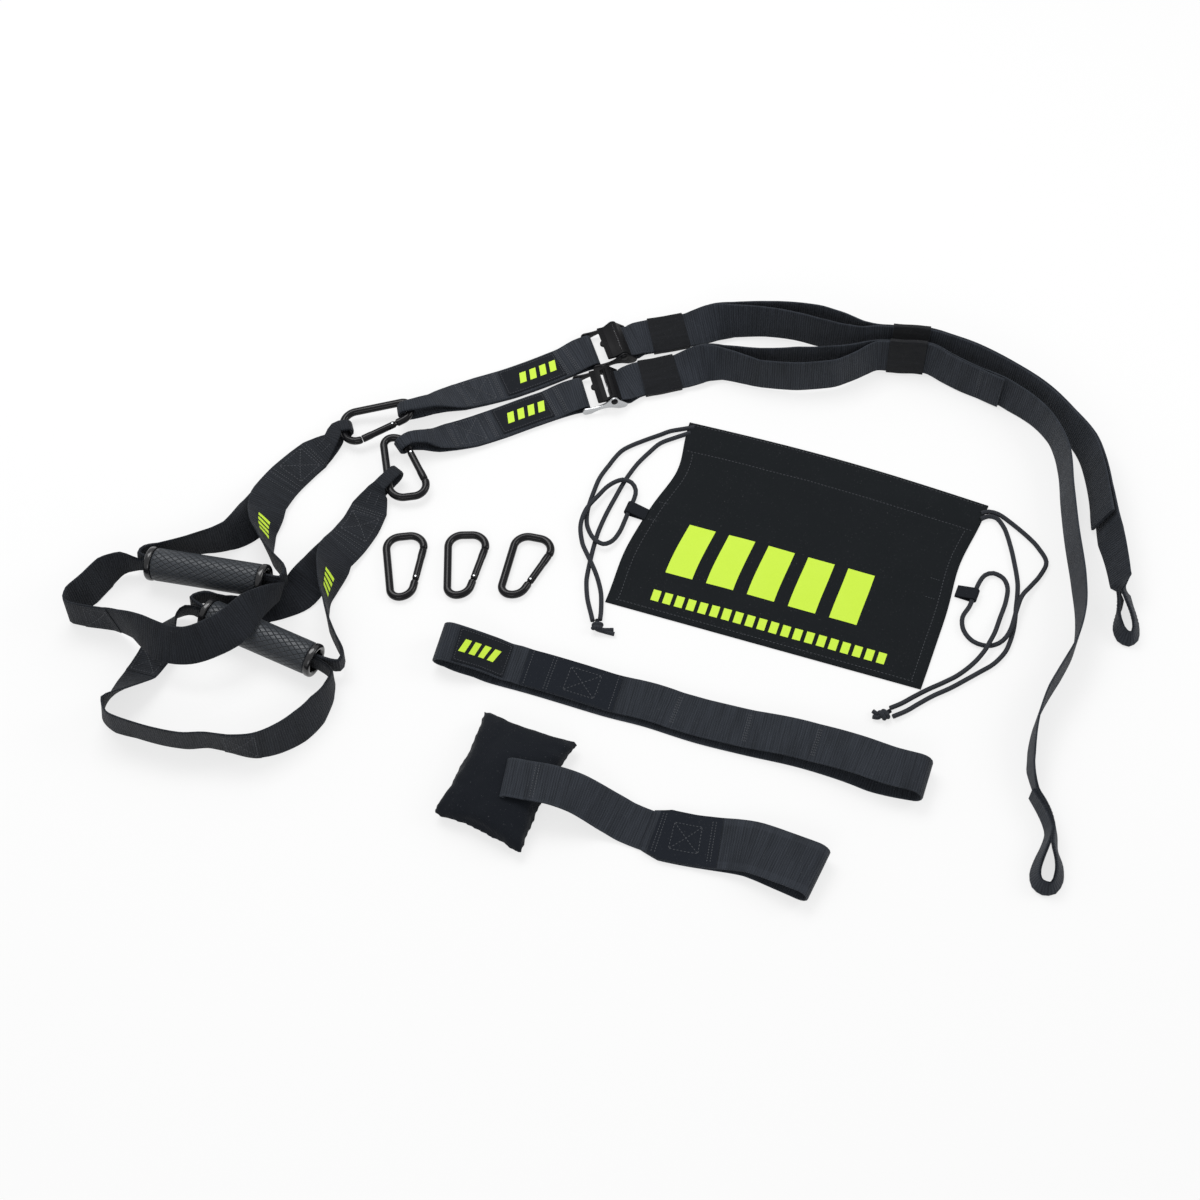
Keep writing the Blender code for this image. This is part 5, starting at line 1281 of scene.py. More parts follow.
def carabiner(name, place):
    """Bent rod with a tongue and a stepped nose, a forked gate with a rounded tip, and a riveted pin."""
    line, pivot, gate = carabiner_outline()
    sections = [(2.4, 1.0), (3.0, 1.3), (3.0, 1.3), (3.5, 2.6)] + [(ROD, ROD)] * (len(line) - 4)
    sections[-2] = (ROD * 0.98, ROD * 0.98)
    sections[-1] = (ROD * 0.84, ROD * 0.84)
    body = bar_along(line, sections, 28)
    body = combine(body, [rod((pivot.x, pivot.y, -8), (pivot.x, pivot.y, 8), 1.3, 20)], "DIFFERENCE")

    reach = (line[-1] - pivot).dot(gate)
    marks = [(-2.9, 1.9), (-2.6, 2.7), (-1.8, 3.3), (-0.6, 3.5), (reach - 12.0, 3.5), (reach - 10.5, 3.6),
             (reach - 9.0, 3.75), (reach - 1.6, 3.75), (reach - 0.9, 3.6), (reach - 0.5, 3.2)]
    leaf = bar_along([pivot + gate * d for d, _ in marks], [(r, r) for _, r in marks], 28)
    slot = block((-6, -3.6, -1.65), (6, 4.6, 1.65))
    swing = Matrix.Rotation(-math.atan2(gate.x, gate.y), 4, "Z")
    bmesh.ops.transform(slot, verts=slot.verts,
                        matrix=Matrix.Translation((pivot.x, pivot.y, 0)) @ swing)
    leaf = combine(leaf, [slot, rod((pivot.x, pivot.y, -8), (pivot.x, pivot.y, 8), 1.3, 20)], "DIFFERENCE")

    pin = rod((pivot.x, pivot.y, -3.5), (pivot.x, pivot.y, 3.5), 1.15, 24)
    bmesh.ops.bevel(pin, geom=[e for e in pin.edges if len(e.link_faces) == 2 and e.calc_face_angle(0) > 1.0],
                    offset=0.3, segments=3, profile=0.5, affect="EDGES", material=-1)
    parts = (("body", "bent_rod", body, gloss_black, "gloss_black_alloy", name),
             ("gate", "gate_leaf", leaf, gloss_black, "gloss_black_alloy", f"{name}_gate"),
             ("gate_pin", "gate_rivet", pin, bare_steel, "bare_steel", name))
    for node_name, title, shape, finish, slot_name, body_name in parts:
        bmesh.ops.transform(shape, verts=shape.verts, matrix=place)
        finish_piece(f"{name}_{title}", shape, finish, body_name, [f"{name}_{node_name}"], 42.0)


carabiner("back_carabiner", back_hook)
carabiner("front_carabiner", front_hook)
SPARES = ((-199.0, 0.0, 97.0), (-145.5, 3.0, 91.0), (-95.5, 6.0, 77.0))
for index, (x, y, heading) in enumerate(SPARES, start=1):
    carabiner(f"spare_carabiner_{index}", carabiner_place((x, y, ROD), heading, 0.0, False))


# Cam buckles

def plate(outline, low, high):
    """Extrudes an outline in X and Z along Y."""
    bm = bmesh.new()
    face = bm.faces.new([bm.verts.new((x, low, z)) for x, z in outline])
    grown = bmesh.ops.extrude_face_region(bm, geom=[face])
    moved = [item for item in grown["geom"] if isinstance(item, bmesh.types.BMVert)]
    bmesh.ops.translate(bm, verts=moved, vec=(0.0, high - low, 0.0))
    return bm


def ease_edges(bm, amount, sharper_than=35.0):
    """Rounds every sharp edge of a pressed or cast piece a little."""
    sharp = [edge for edge in bm.edges if len(edge.link_faces) == 2
             and edge.calc_face_angle(0.0) > math.radians(sharper_than)]
    bmesh.ops.bevel(bm, geom=sharp, offset=amount, segments=2, profile=0.5, affect="EDGES",
                    clamp_overlap=True, material=-1)


def side_plate_outline():
    """A cheek from the side: its ear round the pin, both bar ends, and a foot arched between them."""
    ear = arc((PIN_X, PIN_Z), 4.8, 132, 16, 14)
    foot = arc((BAR_X, BAR_Z), 4.3, 16, -90, 12)
    arch = [(x, BAR_Z - 4.3 + 4.6 * math.cos(math.pi * x / 29.0)) for x in range(14, -15, -2)]
    nose = arc((-BAR_X, BAR_Z), 4.3, -90, -255, 16)
    back = [(-15.5, 9.2), (-11.0, 9.3), (-6.5, 9.8), (-2.5, 10.9), (0.8, 12.6), (3.4, 14.7)]
    return ear + foot + arch + nose + back


def cam_outline():
    """The lever in profile: thumb plate, round boss and an eccentric cam with teeth."""
    teeth = []
    for i in range(6):
        for share, reach in ((0.0, 0.0), (0.5, -0.9)):
            angle = -6 - (i + share) * 8.0
            radius = 8.2 - max(0.0, -angle - 24) * 0.085 + reach
            teeth += arc((PIN_X, PIN_Z), radius, angle, angle, 1)[:1]
    boss = arc((PIN_X, PIN_Z), 5.4, 100, 14, 14)
    heel = arc((PIN_X, PIN_Z), 4.4, -70, -140, 10)
    tip = [(-9.0, -0.9), (-14.6, -1.2), (-15.9, -0.7), (-16.4, 0.4), (-16.2, 1.4)]
    ribs = [(-15.2 + 0.8 * k, 1.9 if k % 2 == 0 else 1.5) for k in range(7)]
    thumb = tip + ribs + [(-9.0, 1.9), (-5.0, 3.2)]
    return boss + teeth + heel + [(PIN_X + x, PIN_Z + z) for x, z in thumb]


def tube_mesh(points, radius, sides):
    """A round tube along points, with length in U and girth in V."""
    rows = len(points) - 1
    bm = bmesh.new()
    sheet_uv = bm.loops.layers.uv.new("UVMap")
    spots = grid_spots(bm, rows, sides)
    rings = []
    lengths = [0.0]
    across = None
    for i, point in enumerate(points):
        along = (points[min(i + 1, rows)] - points[max(i - 1, 0)]).normalized()
        guide = across if across else (UP if abs(along.z) < 0.9 else Vector((1, 0, 0)))
        across = (guide - along * guide.dot(along)).normalized()
        rings.append((point, across, along.cross(across)))
        if i:
            lengths.append(lengths[-1] + (point - points[i - 1]).length)
    for vert, (i, k) in spots.items():
        point, side, rise = rings[i]
        angle = math.tau * (k % sides) / sides
        vert.co = point + side * (radius * math.cos(angle)) + rise * (radius * math.sin(angle))
    lay_uv(bm, sheet_uv, spots, lambda i, k: (lengths[i] * MM, math.tau * radius * k / sides * MM))
    close_skin(bm)
    return bm


def cam_spring():
    """The torsion spring's coil round the pin."""
    turns, per_turn, wire, radius, pitch = 3, 24, 0.4, 3.0, 1.5
    points = []
    for i in range(turns * per_turn + 1):
        angle = math.tau * i / per_turn
        points.append(Vector((PIN_X + radius * math.cos(angle), (i / per_turn - turns / 2) * pitch,
                              PIN_Z + radius * math.sin(angle))))
    return tube_mesh(points, wire, 10)


def cam_teeth():
    """The row of small points that stands along the cam's crown."""
    bm = bmesh.new()
    for k in range(15):
        made = bmesh.ops.create_cone(bm, cap_ends=True, segments=4, radius1=1.05, radius2=0.15, depth=2.2)
        lean = Matrix.Rotation(math.radians(-22), 4, "Y")
        foot = Vector((PIN_X - 1.2, (k - 7) * 2.35, PIN_Z + 5.7))
        bmesh.ops.transform(bm, verts=made["verts"], matrix=Matrix.Translation(foot) @ lean)
    return bm


def cheek(low, high):
    """One pressed side plate, pierced for the pin."""
    made = plate(side_plate_outline(), low, high)
    made = combine(made, [rod((PIN_X, -30, PIN_Z), (PIN_X, 30, PIN_Z), PIN_BORE)], "DIFFERENCE")
    ease_edges(made, 0.22)
    return made


def cam_lever(slot_width):
    """Thumb plate and toothed cam, bored for the pin, with the spring's pocket and a slot if it has one."""
    half = CHEEK_INNER - 0.6
    pocket_half = 4.2
    cuts = [rod((PIN_X, -30, PIN_Z), (PIN_X, 30, PIN_Z), PIN_BORE),
            rod((PIN_X, -pocket_half, PIN_Z), (PIN_X, pocket_half, PIN_Z), 3.9),
            block((PIN_X - 3.2, -pocket_half, PIN_Z - 12), (PIN_X + 3.2, pocket_half, PIN_Z - 1))]
    if slot_width:
        cuts.append(block((PIN_X - 2.7 - slot_width, -17.4, PIN_Z - 12), (PIN_X - 2.7, 17.4, PIN_Z + 12)))
    lever = combine(plate(cam_outline(), -half, half), cuts, "DIFFERENCE")
    ease_edges(lever, 0.18, 50.0)
    nub = rod((PIN_X - 15.4, 0, PIN_Z - 1.0), (PIN_X - 15.4, 0, PIN_Z + 1.7), 3.4, 28)
    ease_edges(nub, 0.3)
    return combine(lever, [nub], "UNION")


def riveted_pin():
    """The lever's shaft with a rounded head outside each cheek."""
    foot = CHEEK_OUTER + GAP
    head = [(foot, 2.0), (foot, 3.4), (foot + 0.9, 3.2), (foot + 1.3, 2.4), (foot + 1.3, 0.0)]
    pin = turned([(-y, radius) for y, radius in reversed(head)] + head, 32, False)
    stand = Matrix.Translation((PIN_X, 0, PIN_Z)) @ Matrix.Rotation(math.pi / 2, 4, "Z")
    bmesh.ops.transform(pin, verts=pin.verts, matrix=stand)
    return pin


def cam_buckle(side, spot, slot_width, plate_finish, near_finish, tooth_finish, pin_finish):
    """Frame of two pressed cheeks and two bars, toothed cam lever, pin and spring."""
    frame_mesh = bmesh.new()
    for x in (-BAR_X, BAR_X):
        add_shape(frame_mesh, rod((x, -21.6, BAR_Z), (x, 21.6, BAR_Z), BAR_RADIUS, 28))
    add_shape(frame_mesh, cheek(CHEEK_INNER, CHEEK_OUTER))
    near_cheek = cheek(-CHEEK_OUTER, -CHEEK_INNER)
    lever_body = f"{side}_buckle_lever"
    for node_name, title, shape, finish, slot, body in (
            ("frame", "far_cheek_and_bars", frame_mesh, plate_finish, "black_steel", "straps"),
            ("frame", "near_cheek", near_cheek, near_finish, "black_steel", "straps"),
            ("lever", "toothed_cam", cam_lever(slot_width), cast_black, "black_steel", lever_body),
            ("lever", "cam_points", cam_teeth(), tooth_finish, "black_steel", lever_body),
            ("pin", "riveted_pin", riveted_pin(), pin_finish, "black_steel", "straps"),
            ("spring", "coil", cam_spring(), spring_steel, "spring_steel", "straps")):
        bmesh.ops.transform(shape, verts=shape.verts, matrix=buckle_place(spot))
        node = f"{side}_buckle_{node_name}"
        finish_piece(f"{side}_buckle_{title}", shape, finish, body, [node], 32.0)


# Painted reflection: the front buckle's near cheek is bare steel, standing for the pale floor mirrored in its
# outer face; the back buckle's same cheek is black steel.
cam_buckle("front", FRONT_BUCKLE, 3.4, black_steel, bare_steel, cast_black, cast_black)
cam_buckle("back", BACK_BUCKLE, 0.0, black_steel, black_steel, spring_steel, black_steel)


# Bag and what hangs on it

def between(corners, u, v):
    """A point in a four-sided outline: u runs left to right and v from bottom to top."""
    bottom_left, bottom_right, top_right, top_left = (Vector(c) for c in corners)
    low = bottom_left.lerp(bottom_right, u)
    return low.lerp(top_left.lerp(top_right, u), v)


BAG = ((6, -1, 0), (299, -98, 0), (378, 104, 0), (88, 209, 0))


def bag_spot(u, v):
    """Plan of the bag: its upper sides pull in, and its casing bows up between the corners."""
    left = 0.032 * math.exp(-((v - 0.74) / 0.17) ** 2) - 0.013 * math.exp(-((v - 0.26) / 0.17) ** 2)
    right = 0.021 * math.exp(-((v - 0.66) / 0.20) ** 2) + 0.004 * math.exp(-((v - 0.30) / 0.20) ** 2)
    bow = (0.010 + 0.012 * u + 0.024 * math.sin(math.pi * u)) * max(0.0, v) ** 3
    return between(BAG, u + left * (1 - u) - right * u, v + bow - 0.008 * (1 - v) ** 3)


def bag_height(u, v):
    """Two layers of cloth: a soft swell, long shallow folds, a hem and the cords' round casing."""
    rise = 3.0 * (math.sin(math.pi * u) * math.sin(math.pi * v)) ** 0.7
    inside = min(1.0, 6 * min(u, 1 - u)) * min(1.0, 6 * min(v, 1 - v))
    spot = Vector((u * 3.1, v * 2.2, 0.4))
    folds = noise.noise(spot * 1.6) * 1.3 + noise.noise(spot * 4.2) * 0.5
    at_tabs = sum(math.exp(-((w / 0.16) ** 2 + ((v - 0.5) / 0.10) ** 2)) for w in (u, 1 - u))
    pull = at_tabs * math.sin(v * 60) * 0.5
    casing = 0.0
    if 0.86 < v < 0.985:
        arch = math.sin(math.pi * (v - 0.86) / 0.125)
        casing = 1.0 * arch ** 0.5 * (1 + 0.6 * noise.noise(Vector((u * 22, v * 3, 2.0))))
    hem = -0.3 * math.exp(-((v - 0.85) / 0.007) ** 2)
    side_seam = -0.5 * sum(math.exp(-((u - at) / 0.006) ** 2) for at in (0.035, 0.965))
    return max(1.2, 2.4 + rise * 0.9 + (folds + pull) * inside + casing + hem + side_seam)


def make_bag():
    """Two layers of cloth, closed all round: the upper one shaped, the lower one flat on the surface."""
    bm = bmesh.new()
    bmesh.ops.create_grid(bm, x_segments=110, y_segments=84, size=0.5)
    flat = [(vert, vert.co.x + 0.5, vert.co.y + 0.5) for vert in bm.verts]
    bmesh.ops.recalc_face_normals(bm, faces=bm.faces)
    low = bmesh.ops.duplicate(bm, geom=bm.verts[:] + bm.edges[:] + bm.faces[:])
    under = [item for item in low["geom"] if isinstance(item, bmesh.types.BMVert)]
    for vert in under:
        u, v = vert.co.x + 0.5, vert.co.y + 0.5
        spot = bag_spot(u, v)
        vert.co = (spot.x, spot.y, 0.05)
    for vert, u, v in flat:
        spot = bag_spot(u, v)
        edge = min(u, 1 - u, v, 1 - v)
        height = bag_height(u, v)
        vert.co = (spot.x, spot.y, height if edge > 1e-4 else min(height, 1.7))
    bmesh.ops.bridge_loops(bm, edges=[edge for edge in bm.edges if edge.is_boundary])
    made = finish_piece("bag_cloth_shell", bm, bag_cloth, "bag", ["bag"], 50.0)


class BagTop:
    """The bag's upper face, read in millimetres along (u) and up (v) from its lower left corner."""

    width, height = 308.0, 221.0

    def at(self, distance, aside, lift=0.0):
        u, v = distance / self.width, aside / self.height
        spot = bag_spot(u, v)
        ahead = bag_spot(u + 0.01, v) - spot
        up = bag_spot(u, v + 0.01) - spot
        point = Vector((spot.x, spot.y, bag_height(u, v) + lift))
        return point, ahead.normalized(), up.normalized(), UP


def bag_trim():
    """Hems sewn along the casing, the sides and the bottom, and the plain lime bars on the front."""
    top = BagTop()
    bm = bmesh.new()
    for aside in (top.height * 0.848, top.height * 0.987):
        stitch_row(bm, top, (4.0, aside), (top.width - 4.0, aside), 3.6, 0.34)
    for distance in (top.width * 0.035, top.width * 0.965):
        stitch_row(bm, top, (distance, 6.0), (distance, top.height * 0.84), 3.6, 0.34)
    stitch_row(bm, top, (8.0, 5.0), (top.width - 8.0, 5.0), 3.6, 0.34)
    for distance in (14.0, top.width - 14.0):
        for aside in (top.height * 0.45, top.height * 0.55):
            stitch_row(bm, top, (distance - 10.0, aside), (distance, aside), 2.6, 0.34)
    finish_piece("bag_stitching", bm, black_thread, "bag")
    for name, place, count in (("large", (45.0, 246.0, 47.0, 105.0), 5),
                               ("small", (40.0, 272.0, 14.0, 26.0), 20)):
        bar_row(f"bag_{name}_bars", top, place, count, 0.66, 0.12, 0.0, 0.05, (8, 10), "bag")


make_bag()
bag_trim()


def bag_tab(side, root, tip):
    """A tape loop sewn into the bag's side, round a drawcord."""
    root, tip = Vector((*root, 0)), Vector((*tip, 0))
    across = Vector((0.364, 0.931, 0)).normalized()
    width, thick = 13.0, 1.2
    radius = CORD_RADIUS + 0.5 + thick / 2
    centre = tip + UP * (radius + 0.7)
    hold = turn(centre, (tip - root).normalized(), across, radius, width, thick, -80, 80, 10)
    lower, upper = ((root + UP * rise, across, width, thick) for rise in (0.9, 2.5))
    tape = strip([lower, *hold, upper], False, 1.6, 0.0)
    finish_piece(f"{side}_tab_tape", tape, label_cloth, "bag", [f"bag_tab_{side}"])


bag_tab("left", (45.5, 97.4), (29, 103.9))
bag_tab("right", (339.9, 9.2), (356, 2.9))


# Loop anchor and door anchor

def slid(knots, reach):
    """A layer moved sideways across its own width, fading out towards both its ends."""
    moved = []
    last = len(knots) - 1
    for i, (point, across, width, thick) in enumerate(knots):
        share = min(1.0, min(i, last - i) / 3.0)
        moved.append((point + across * (reach * share), across, width, thick))
    return moved


def puffed(knots, seams, height):
    """A layer that bulges up between the seams that hold it down, given by distance along it."""
    moved = []
    travelled = 0.0
    for i, (point, across, width, thick) in enumerate(knots):
        if i:
            travelled += (point - knots[i - 1][0]).length
        lift = 0.0
        for start, stop in zip(seams, seams[1:]):
            if start < travelled < stop:
                lift = height * math.sin(math.pi * (travelled - start) / (stop - start)) ** 0.7
        moved.append((point + UP * lift, across, width, thick))
    return moved


def anchor_strap(points, box, tacks):
    """A closed loop of webbing, sewn across at intervals, with a lapped and padded stretch."""
    body = run(points)
    right, left = (turn(end[0], level(end[0] - before[0]), end[1], end[4] / 2, WEB, SKIN)
                   for end, before in ((body[-1], body[-2]), (body[0], body[1])))
    under = slid(layer(body, -1), -4.4)
    top = puffed(layer(body, 1), (2.0, 62.0, 74.0, 166.0, *tacks, 424.0), 1.3)
    path = under[1:-1] + right + top[-2:0:-1] + left[::-1]
    finish_piece("anchor_strap_webbing", strip(path, True, waver=0.35, seed=9.0), webbing, "anchor_strap",
                 ["anchor_strap"])
    surface = Surface(top, 1.0)
    label_on("anchor_label", surface, 6.0, 58.0, 16.5, "anchor_strap", (11.5, 50.0, -6.5, 6.5))
    half = WEB / 2 + 0.4
    lap = patch(surface, 74.0, 166.0, -half, half, PATCH_SKIN, 0.0, 0.02, 40, 10)
    finish_piece("anchor_strap_lap", lap, velour, "anchor_strap")
    bm = bmesh.new()
    raised = Lifted(surface, PATCH_SKIN)
    box_stitch(bm, raised, *box, 12.0)
    for distance in (78.0, 98.0, 101.0, 162.0):
        bar_tack(bm, raised, distance, WEB / 2 - 1.5, 1)
    for distance in tacks:
        bar_tack(bm, surface, distance, WEB / 2 - 5.0, 3, 1.5)
    finish_piece("anchor_strap_stitching", bm, black_thread, "anchor_strap")


anchor_strap([
    (-140.5, -60, 14, WEB, 20, 0.2), (-127.5, -63.5, 12, WEB, 16.5, 0.2), (-110, -67, 9, WEB, 10, 0.2),
    (-87, -74, 8, WEB, 4.6, 0.2), (-58, -83, 8, WEB, 3.4, 0.2), (-29, -93, 8, WEB, 3.2, 0.2),
    (11, -107, 8, WEB, 3.4, 0.2), (48, -118, 8, WEB, 4.0, 0.2), (94, -135, 8, WEB, 4.6, 0.2),
    (139, -148, 8, WEB, 7, 0.2), (184, -160, 8, WEB, 10, 0.2), (226, -175, 7, WEB, 14, 0.2),
    (262, -191, 5, WEB, 19, 0.2), (285, -199, 4, WEB, 21, 0.2)],
    (116.0, 146.0), (222.0, 290.0, 355.0))


def merged_copy(node_name):
    """A bmesh of a CAD node's solid in millimetres on the plan, its loose triangles joined."""
    bm = bmesh.new()
    bm.from_mesh(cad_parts[node_name].data)
    bmesh.ops.scale(bm, verts=bm.verts, vec=(1 / MM, 1 / MM, 1 / MM))
    bmesh.ops.translate(bm, verts=bm.verts, vec=LAYOUT_CENTRE)
    bmesh.ops.remove_doubles(bm, verts=bm.verts, dist=0.01)
    return bm


def inflate(solid, limit, steps=16):
    """Swells a cushion with cloth under pressure, and keeps each point near where it started."""
    remesh = solid.modifiers.new("even", "REMESH")
    remesh.mode = "VOXEL"
    remesh.voxel_size = 0.0032
    evaluated = solid.evaluated_get(bpy.context.evaluated_depsgraph_get())
    even = bpy.data.meshes.new_from_object(evaluated)
    solid.modifiers.clear()
    solid.data = even
    start = [vert.co.copy() for vert in even.vertices]
    cloth = solid.modifiers.new("cloth", "CLOTH")
    for title, value in (("quality", 5), ("mass", 0.2), ("tension_stiffness", 12.0),
                         ("compression_stiffness", 4.0), ("shear_stiffness", 4.0),
                         ("bending_stiffness", 0.4), ("use_pressure", True),
                         ("uniform_pressure_force", 3.0)):
        setattr(cloth.settings, title, value)
    cloth.settings.effector_weights.gravity = 0.0
    cloth.point_cache.frame_start = 1
    cloth.point_cache.frame_end = steps
    scene = bpy.context.scene
    for step in range(1, steps + 1):
        scene.frame_set(step)
    evaluated = solid.evaluated_get(bpy.context.evaluated_depsgraph_get())
    swollen = [vert.co.copy() for vert in evaluated.data.vertices]
    solid.modifiers.clear()
    scene.frame_set(1)
    for vert, first, last in zip(solid.data.vertices, start, swollen):
        move = last - first
        if move.length > limit:
            move = move.normalized() * limit
        vert.co = first + move


PAD = ((-155, -236, 0), (-69, -280, 0), (-16, -160, 0), (-107, -123, 0))


def nearest_edge(spot, corners):
    """How far a spot is from the outline, and how far round the outline its nearest point lies."""
    best, travelled = (1e9, 0.0), 0.0
    ring = [Vector(c) for c in corners]
    for a, b in zip(ring, ring[1:] + ring[:1]):
        side = b - a
        share = min(1.0, max(0.0, (spot - a).dot(side) / side.length_squared))
        gap = (spot - (a + side * share)).length
        if gap < best[0]:
            best = (gap, travelled + share * side.length)
        travelled += side.length
    return best


def corner_draw(spot):
    """How far the stuffing's pull rounds each corner off, and how far the sides wave in and out."""
    middle = sum((Vector(corner) for corner in PAD), Vector()) / 4
    drawn = Vector()
    for corner, reach in zip(PAD, (5.0, 3.5, 3.5, 3.5)):
        near = math.exp(-((spot - Vector(corner)).length / 9.0) ** 2)
        drawn += (middle - Vector(corner)).normalized() * (reach * near)
    side = noise.noise(spot * 0.06 + Vector((3.0, 7.0, 0.0))) * 1.4
    outward = (spot - middle).normalized()
    return drawn + outward * (side * min(1.0, (spot - middle).length / 50.0))


def pad_rise(spot):
    """Puckers along the seam and soft unevenness of the stuffing, in millimetres."""
    gap, along = nearest_edge(spot, PAD)
    pucker = math.sin(along * 0.30 + 1.7 * math.sin(along * 0.06)) * 0.8 * math.exp(-(gap / 22.0) ** 2)
    return pucker + noise.noise(spot * 0.045) + noise.noise(spot * 0.13) * 0.35


def make_pad():
    """The door anchor's stuffed pad: the CAD solid, blown up as cloth and then puckered along its seam."""
    bm = merged_copy("door_pad")
    bmesh.ops.translate(bm, verts=bm.verts, vec=-LAYOUT_CENTRE)
    bmesh.ops.scale(bm, verts=bm.verts, vec=(MM, MM, MM))
    mesh = bpy.data.meshes.new("door_pad_cushion")
    bm.to_mesh(mesh)
    bm.free()
    pad = link("door_pad_cushion", mesh)
    inflate(pad, 0.0035)
    tall = max(vert.co.z for vert in pad.data.vertices)
    for vert in pad.data.vertices:
        spot = Vector((vert.co.x / MM, vert.co.y / MM, 0.0)) + LAYOUT_CENTRE
        share = min(1.0, max(0.0, (vert.co.z / MM - 4.0) / 10.0))
        vert.co += (corner_draw(spot) + UP * (pad_rise(spot) * share)) * MM
        vert.co.z = min(max(vert.co.z, 0.0001), tall)
    pad.data.shade_smooth()
    smoothing = pad.modifiers.new("finish", "SUBSURF")
    smoothing.levels = smoothing.render_levels = 1
    pad.data.materials.clear()
    pad.data.materials.append(pad_cloth)
    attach(pad, "door_anchor")
    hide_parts("door_pad")


make_pad()


def door_strap(start, single, loop_points):
    """From its fold on the pad to the floor, round the loop and back over itself, with a sewn patch."""
    loop = run(loop_points)
    end = loop[-1]
    bend = turn(end[0], level(end[0] - loop[-2][0]), end[1], end[4] / 2, DOOR_LOOP, SKIN)
    single = layer(run(single), 0)
    curl = [(Vector(point), single[0][1], DOOR_STRAP, SKIN) for point in start]
    under, top = layer(loop, -1), layer(loop, 1)
    path = curl + single + under[:-1] + bend + top[-2::-1]
    finish_piece("door_strap_webbing", strip(path, False, waver=0.35, seed=11.0), webbing, "door_anchor",
                 ["door_strap"])
    surface = Surface(top, 1.0)
    half = DOOR_LOOP / 2 - 0.6
    lap = patch(surface, 6.0, 66.0, -half, half, PATCH_SKIN, 0.0, 0.02, 30, 10)
    finish_piece("door_strap_patch", lap, velour, "door_anchor")
    bm = bmesh.new()
    raised = Lifted(surface, PATCH_SKIN)
    box_stitch(bm, raised, 22.0, 48.0, 13.0)
    for distance in (9.0, 12.0, 57.0, 60.0):
        bar_tack(bm, raised, distance, DOOR_LOOP / 2 - 5.0, 1)
    body = Surface(single, 1.0)
    for distance in (6.0, 9.0):
        bar_tack(bm, body, distance, DOOR_STRAP / 2 - 3.0, 1)
    finish_piece("door_strap_stitching", bm, black_thread, "door_anchor")


door_strap(
    [(-72, -211, 26.2), (-82, -209, 27.0), (-85.5, -208.4, 29.4), (-82, -209, 31.6)],
    [(-66, -212, 0, DOOR_STRAP, 0, 30.0), (-44, -216, 0, DOOR_STRAP, 0, 29.0),
     (-20, -222, 2, DOOR_STRAP, 0, 22.0), (4, -231, 4, DOOR_STRAP, 0, 9.0),
     (24, -240, 4, DOOR_STRAP, 0, 1.5)],
    [(43, -248, 4, DOOR_STRAP, PLY, 0.2), (58, -253, 4, DOOR_LOOP, PLY, 0.2),
     (84, -259, 4, DOOR_LOOP, PLY, 0.2), (106, -263, 4, DOOR_LOOP, 4.4, 0.2),
     (134, -269, 4, DOOR_LOOP, 10, 0.2), (160, -281, 4, DOOR_LOOP, 15, 0.2),
     (184, -293, 4, DOOR_LOOP, 19, 0.2)])


# Drawcords

LOW = 2.45                # middle of a cord that lies on the surface
OVER = 7.3                # middle of a cord that crosses another


def cord_route(points, pitch=4.0):
    """Evenly spaced points on a smooth line through the route's own points."""
    knots = [(Vector(p), UP, 1.0, 1.0) for p in points]
    coarse = [station[0] for station in smooth(knots, False, 13.0)]
    return [station[0] for station in smooth([(p, UP, 1.0, 1.0) for p in coarse], False, pitch)]


def drawcord(name, points):
    """A braided cord from the bag's casing along its route."""
    route = cord_route(points)
    piece = finish_piece(f"{name}_braid", tube_mesh(route, CORD_RADIUS, 18), braided_cord, "bag",
                         [name])


def cord_knot(side, centre, toward, tails):
    """An overhand knot of both strands: turns of cord about them, and two short cut tails."""
    heading = math.atan2(toward[1], toward[0])
    place = Matrix.Translation(Vector(centre)) @ Matrix.Rotation(heading, 4, "Z")
    wraps, steps = [], 40
    for i in range(steps + 1):
        share = i / steps
        angle = math.tau * 1.9 * share
        wraps.append(place @ Vector(((share - 0.5) * 7.0, 3.4 * math.cos(angle), 2.5 * math.sin(angle))))
    bm = tube_mesh(wraps, CORD_RADIUS, 14)
    inside = [place @ Vector(p) for p in ((7.0, 1.6, -0.6), (2.0, 0.6, 0.2), (-3.0, 0.6, 0.2))]
    for tail in tails:
        strand = inside + [Vector(p) for p in tail]
        route = [s[0] for s in smooth([(p, UP, 1.0, 1.0) for p in strand], False, 1.2)]
        add_shape(bm, tube_mesh(route, CORD_RADIUS * 0.94, 14))
    finish_piece(f"{side}_overhand_knot", bm, braided_cord, "bag", [f"knot_{side}"], 60.0)


